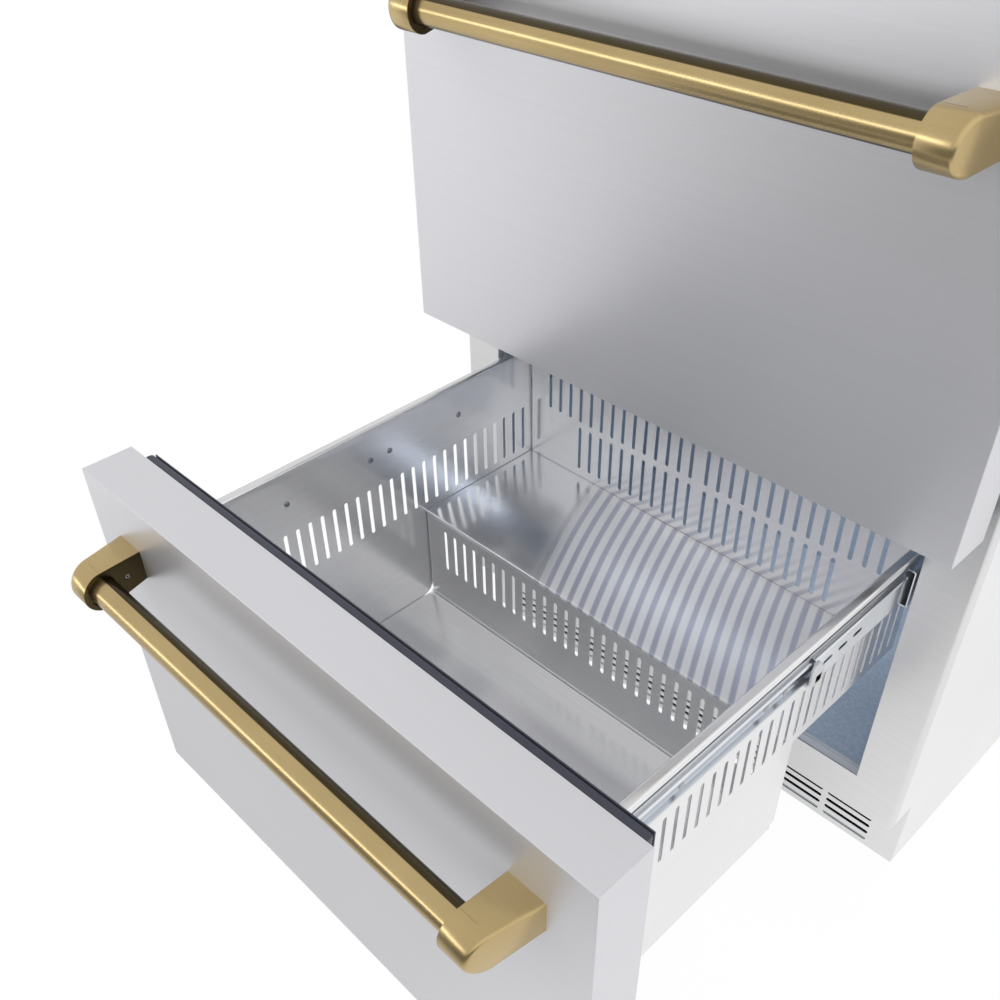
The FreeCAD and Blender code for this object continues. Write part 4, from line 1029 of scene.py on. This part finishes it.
def outerSheets():
    toe = span("toe_kick_grille")
    for word in ("left", "right"):
        x0, y0, z0, x1, y1, z1 = span("side_panel_" + word)
        outline = [(y0, toe.z1), (toe.y1, toe.z1), (toe.y1, z0), (y1, z0), (y1, z1), (y0, z1)]
        Shape().plate("X", (x0 + x1) / 2, x1 - x0, outline, [], shell["soft"]).done(
            "sideSheet" + word.title(), "side_panel_" + word)
    x0, y0, z0, x1, y1, z1 = span("top_panel")
    Shape().plate("Z", (z0 + z1) / 2, z1 - z0, rectangle(x0, x1, y0, y1), [], shell["soft"]).done(
        "topSheet", "top_panel")


# Low screw heads with a cross recess, set into the sheet's outer face
def addScrews(shape, places, face, top):
    r, (arm, narrow) = shell["screw"], shell["recess"]
    heads, knife = Shape(), Shape()
    for x, z in places:
        heads.turned("Y", (x, z), [
            (0, face - 0.4), (r, face - 0.4), (r, face), (r * 0.8, top - 0.04),
            (r * 0.5, top), (0, top)], 20)
        for wide, tall in ((arm, narrow), (narrow, arm)):
            knife.block(x - wide, x + wide, top - shell["recessDepth"], top + 1,
                        z - tall, z + tall, 0)
    shape.join(heads.cut(knife))


def rearPanel():
    x0, y0, z0, x1, y1, z1 = span("rear_panel")
    t, inset = shell["sheet"], shell["screwInset"]
    face = y1 - shell["below"]
    hole, boss = shell["insert"]
    at = [(side * shell["insertX"], z1 - shell["insertDrop"]) for side in (-1, 1)]
    shape = Shape().plate("Y", face - t / 2, t, rectangle(x0, x1, z0, z1),
                          [arc(place, hole, 0, 345, 23) for place in at], 0.2)
    for place in at:
        shape.turned("Y", place, [(hole, y0), (boss, y0), (boss, face - t), (hole, face - t)],
                     24, True)
    half, ends = shell["beadHalf"], shell["beadInset"]
    for x in shell["beads"]:
        shape.block(x - half, x + half, face - 0.1, y1 - 0.02, z0 + ends, z1 - ends, 0.25)
    rows = [z0 + inset + (z1 - z0 - 2 * inset) * k / 4 for k in range(5)]
    places = [(side * (x1 - inset), z) for side in (-1, 1) for z in rows]
    addScrews(shape, places + [(x, z1 - inset) for x in shell["topScrews"]], face, y1)
    shape.done("rearSheet", "rear_panel")


def rearGrille():
    x0, _, z0, x1, y1, z1 = span("rear_grille")
    t, inset = shell["sheet"], shell["screwInset"]
    face = y1 - shell["below"]
    (width, height), (columns, rows) = shell["vent"], shell["vents"]
    pitchX, pitchZ = shell["ventPitch"]
    holes = [slotRing(shell["ventFirst"] + row * pitchZ,
                      (column - (columns - 1) / 2) * pitchX - width / 2, width, height, False)
             for column in range(columns) for row in range(rows)]
    shape = Shape().plate("Y", face - t / 2, t,
                          rectangle(x0, x1, z0, z1 - shell["grilleTop"]), holes, 0.2)
    ends = (z0 + inset, z1 - inset)
    places = [(side * (x1 - inset), z) for side in (-1, 1) for z in ends]
    addScrews(shape, places + [(x, z) for x in shell["grilleScrews"] for z in ends], face, y1)
    shape.done("rearGrille", "rear_grille")


outerSheets()
rearPanel()
rearGrille()
print("outer shell done")


# Feet: ribbed moulded pad with a round neck, and threaded stud; radius and height
foot = {
    "pad": ((0, 0), (16.6, 0), (17.8, 1.0), (17.9, 2.2), (16.9, 3.0), (16.9, 4.0), (15.6, 5.4),
            (12.0, 6.0), (11.0, 7.0), (11.0, 11.4), (10.4, 12.0), (0, 12.0)),
    "turn": ((4.3, 12.0), (4.95, 12.6), (4.95, 13.0), (4.3, 13.6)),
    "inset": 18.0, "stud": 11.8, "turns": 15, "pitch": 1.7,
}


def feet():
    x0, y0, _, x1, y1, z1 = span("leveling_feet")
    thread = [(r, up + k * foot["pitch"]) for k in range(foot["turns"]) for r, up in foot["turn"]]
    shape, inset = Shape(), foot["inset"]
    for x in (x0 + inset, x1 - inset):
        for y in (y0 + inset, y1 - inset):
            shape.turned("Z", (x, y), foot["pad"])
            shape.turned("Z", (x, y), [(0, foot["stud"])] + thread + [(0, z1)], 20)
    shape.done("feet", "leveling_feet")


feet()
print("feet done")


# Studio
studio = {
    "cameraAt": (0.50877, -0.72452, 1.01512),
    "cameraTurn": (49.0549, 1.0582, 45.7497),
    "lens": 38.498,
    "shift": (-0.0014, 0.0834),
    "floorSize": 12.0,
    "worldLight": 0.75,
}

cameraData = bpy.data.cameras.new("camera")
cameraData.lens = studio["lens"]
cameraData.sensor_width = 36.0
cameraData.shift_x, cameraData.shift_y = studio["shift"]
cameraData.clip_start = 0.01
camera = bpy.data.objects.new("camera", cameraData)
camera.location = studio["cameraAt"]
camera.rotation_euler = [math.radians(a) for a in studio["cameraTurn"]]
scene.collection.objects.link(camera)
scene.camera = camera


def areaLight(name, place, target, size, power, colour=(1, 1, 1)):
    data = bpy.data.lights.new(name, "AREA")
    data.shape = "RECTANGLE"
    data.size, data.size_y = size
    data.energy = power
    data.color = colour
    lamp = bpy.data.objects.new(name, data)
    lamp.location = place
    aim = Vector(target) - Vector(place)
    lamp.rotation_mode = "QUATERNION"
    lamp.rotation_quaternion = aim.to_track_quat("-Z", "Y")
    lamp.visible_glossy = False
    scene.collection.objects.link(lamp)


areaLight("keyLight", (-1.8, -1.4, 3.0), (0.0, -0.2, 0.4), (2.0, 2.0), 18)
low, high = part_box("liner_lower")
areaLight("insideLight", (0.05, 0.17, high.z - 0.02), (0.12, 0.12, low.z), (0.3, 0.08), 0.7,
          (0.93, 0.97, 1.0))

world = bpy.data.worlds.new("studioWorld")
world.use_nodes = True
scene.world = world
sky = Sheet(world.node_tree)
eye, mirror, through = sky.rays()
# Metal sees an even room, brighter to the right and along a low strip in front
east, north, rise = sky.axes("Generated")
strip = sky.window(rise, -0.02, 0.03, 0.1, 0.15) * sky.range(north, -0.6, -0.3, 1, 0, True)
strip = strip * sky.window(east, -0.85, -0.75, -0.4, -0.25)
mirrored = sky.range(east, 0.2, 0.9, 0.8, 1.15, True) + strip * 3.4
plain = studio["worldLight"] + (eye + through) * (1 - studio["worldLight"])
strength = plain * (1 - mirror) + mirrored * mirror
background = sky.add("Background", None, {"Color": (1, 1, 1, 1), "Strength": strength})
sky.add("OutputWorld", None, {"Surface": background})

floorMesh = bpy.data.meshes.new("floor")
half = studio["floorSize"] / 2
floorMesh.from_pydata(
    [(-half, -half, 0), (half, -half, 0), (half, half, 0), (-half, half, 0)], [], [(0, 1, 2, 3)])
floor = bpy.data.objects.new("floor", floorMesh)
scene.collection.objects.link(floor)
floorLook, sheet = newMaterial("floorPaint")
eye, mirror, through = sheet.rays()
matt = sheet.add("BsdfPrincipled", None, {"Base Color": (0.8, 0.8, 0.8, 1), "Roughness": 0.9})
# Metal sees a dimmer floor in front of the object than at its sides
east, north = sheet.axes()[:2]
sector = sheet.range(east / north, 0.25, 1.25, 0.16, 1.02, True)
close = sheet.range(north, -1.3, -0.6, 0, 1, True) * sheet.range(east, -1.4, -0.6, 0, 1, True)
right = sheet.range(east, 0.0, 0.35, 0.74, 1.02, True)
dim = sector * (1 - close) + right * close
strength = sheet.range(mirror, 0, 1, 1.03, 0) + mirror * dim
bright = sheet.add("Emission", None, {"Color": (1, 1, 1, 1), "Strength": strength})
share = eye * 0.94 + mirror * 0.96 + through * 0.94
sheet.add("OutputMaterial", None, {
    "Surface": sheet.add("MixShader", None, {0: share, 1: matt, 2: bright})})
floor.data.materials.append(floorLook)
print("studio ready")

bpy.context.view_layer.update()
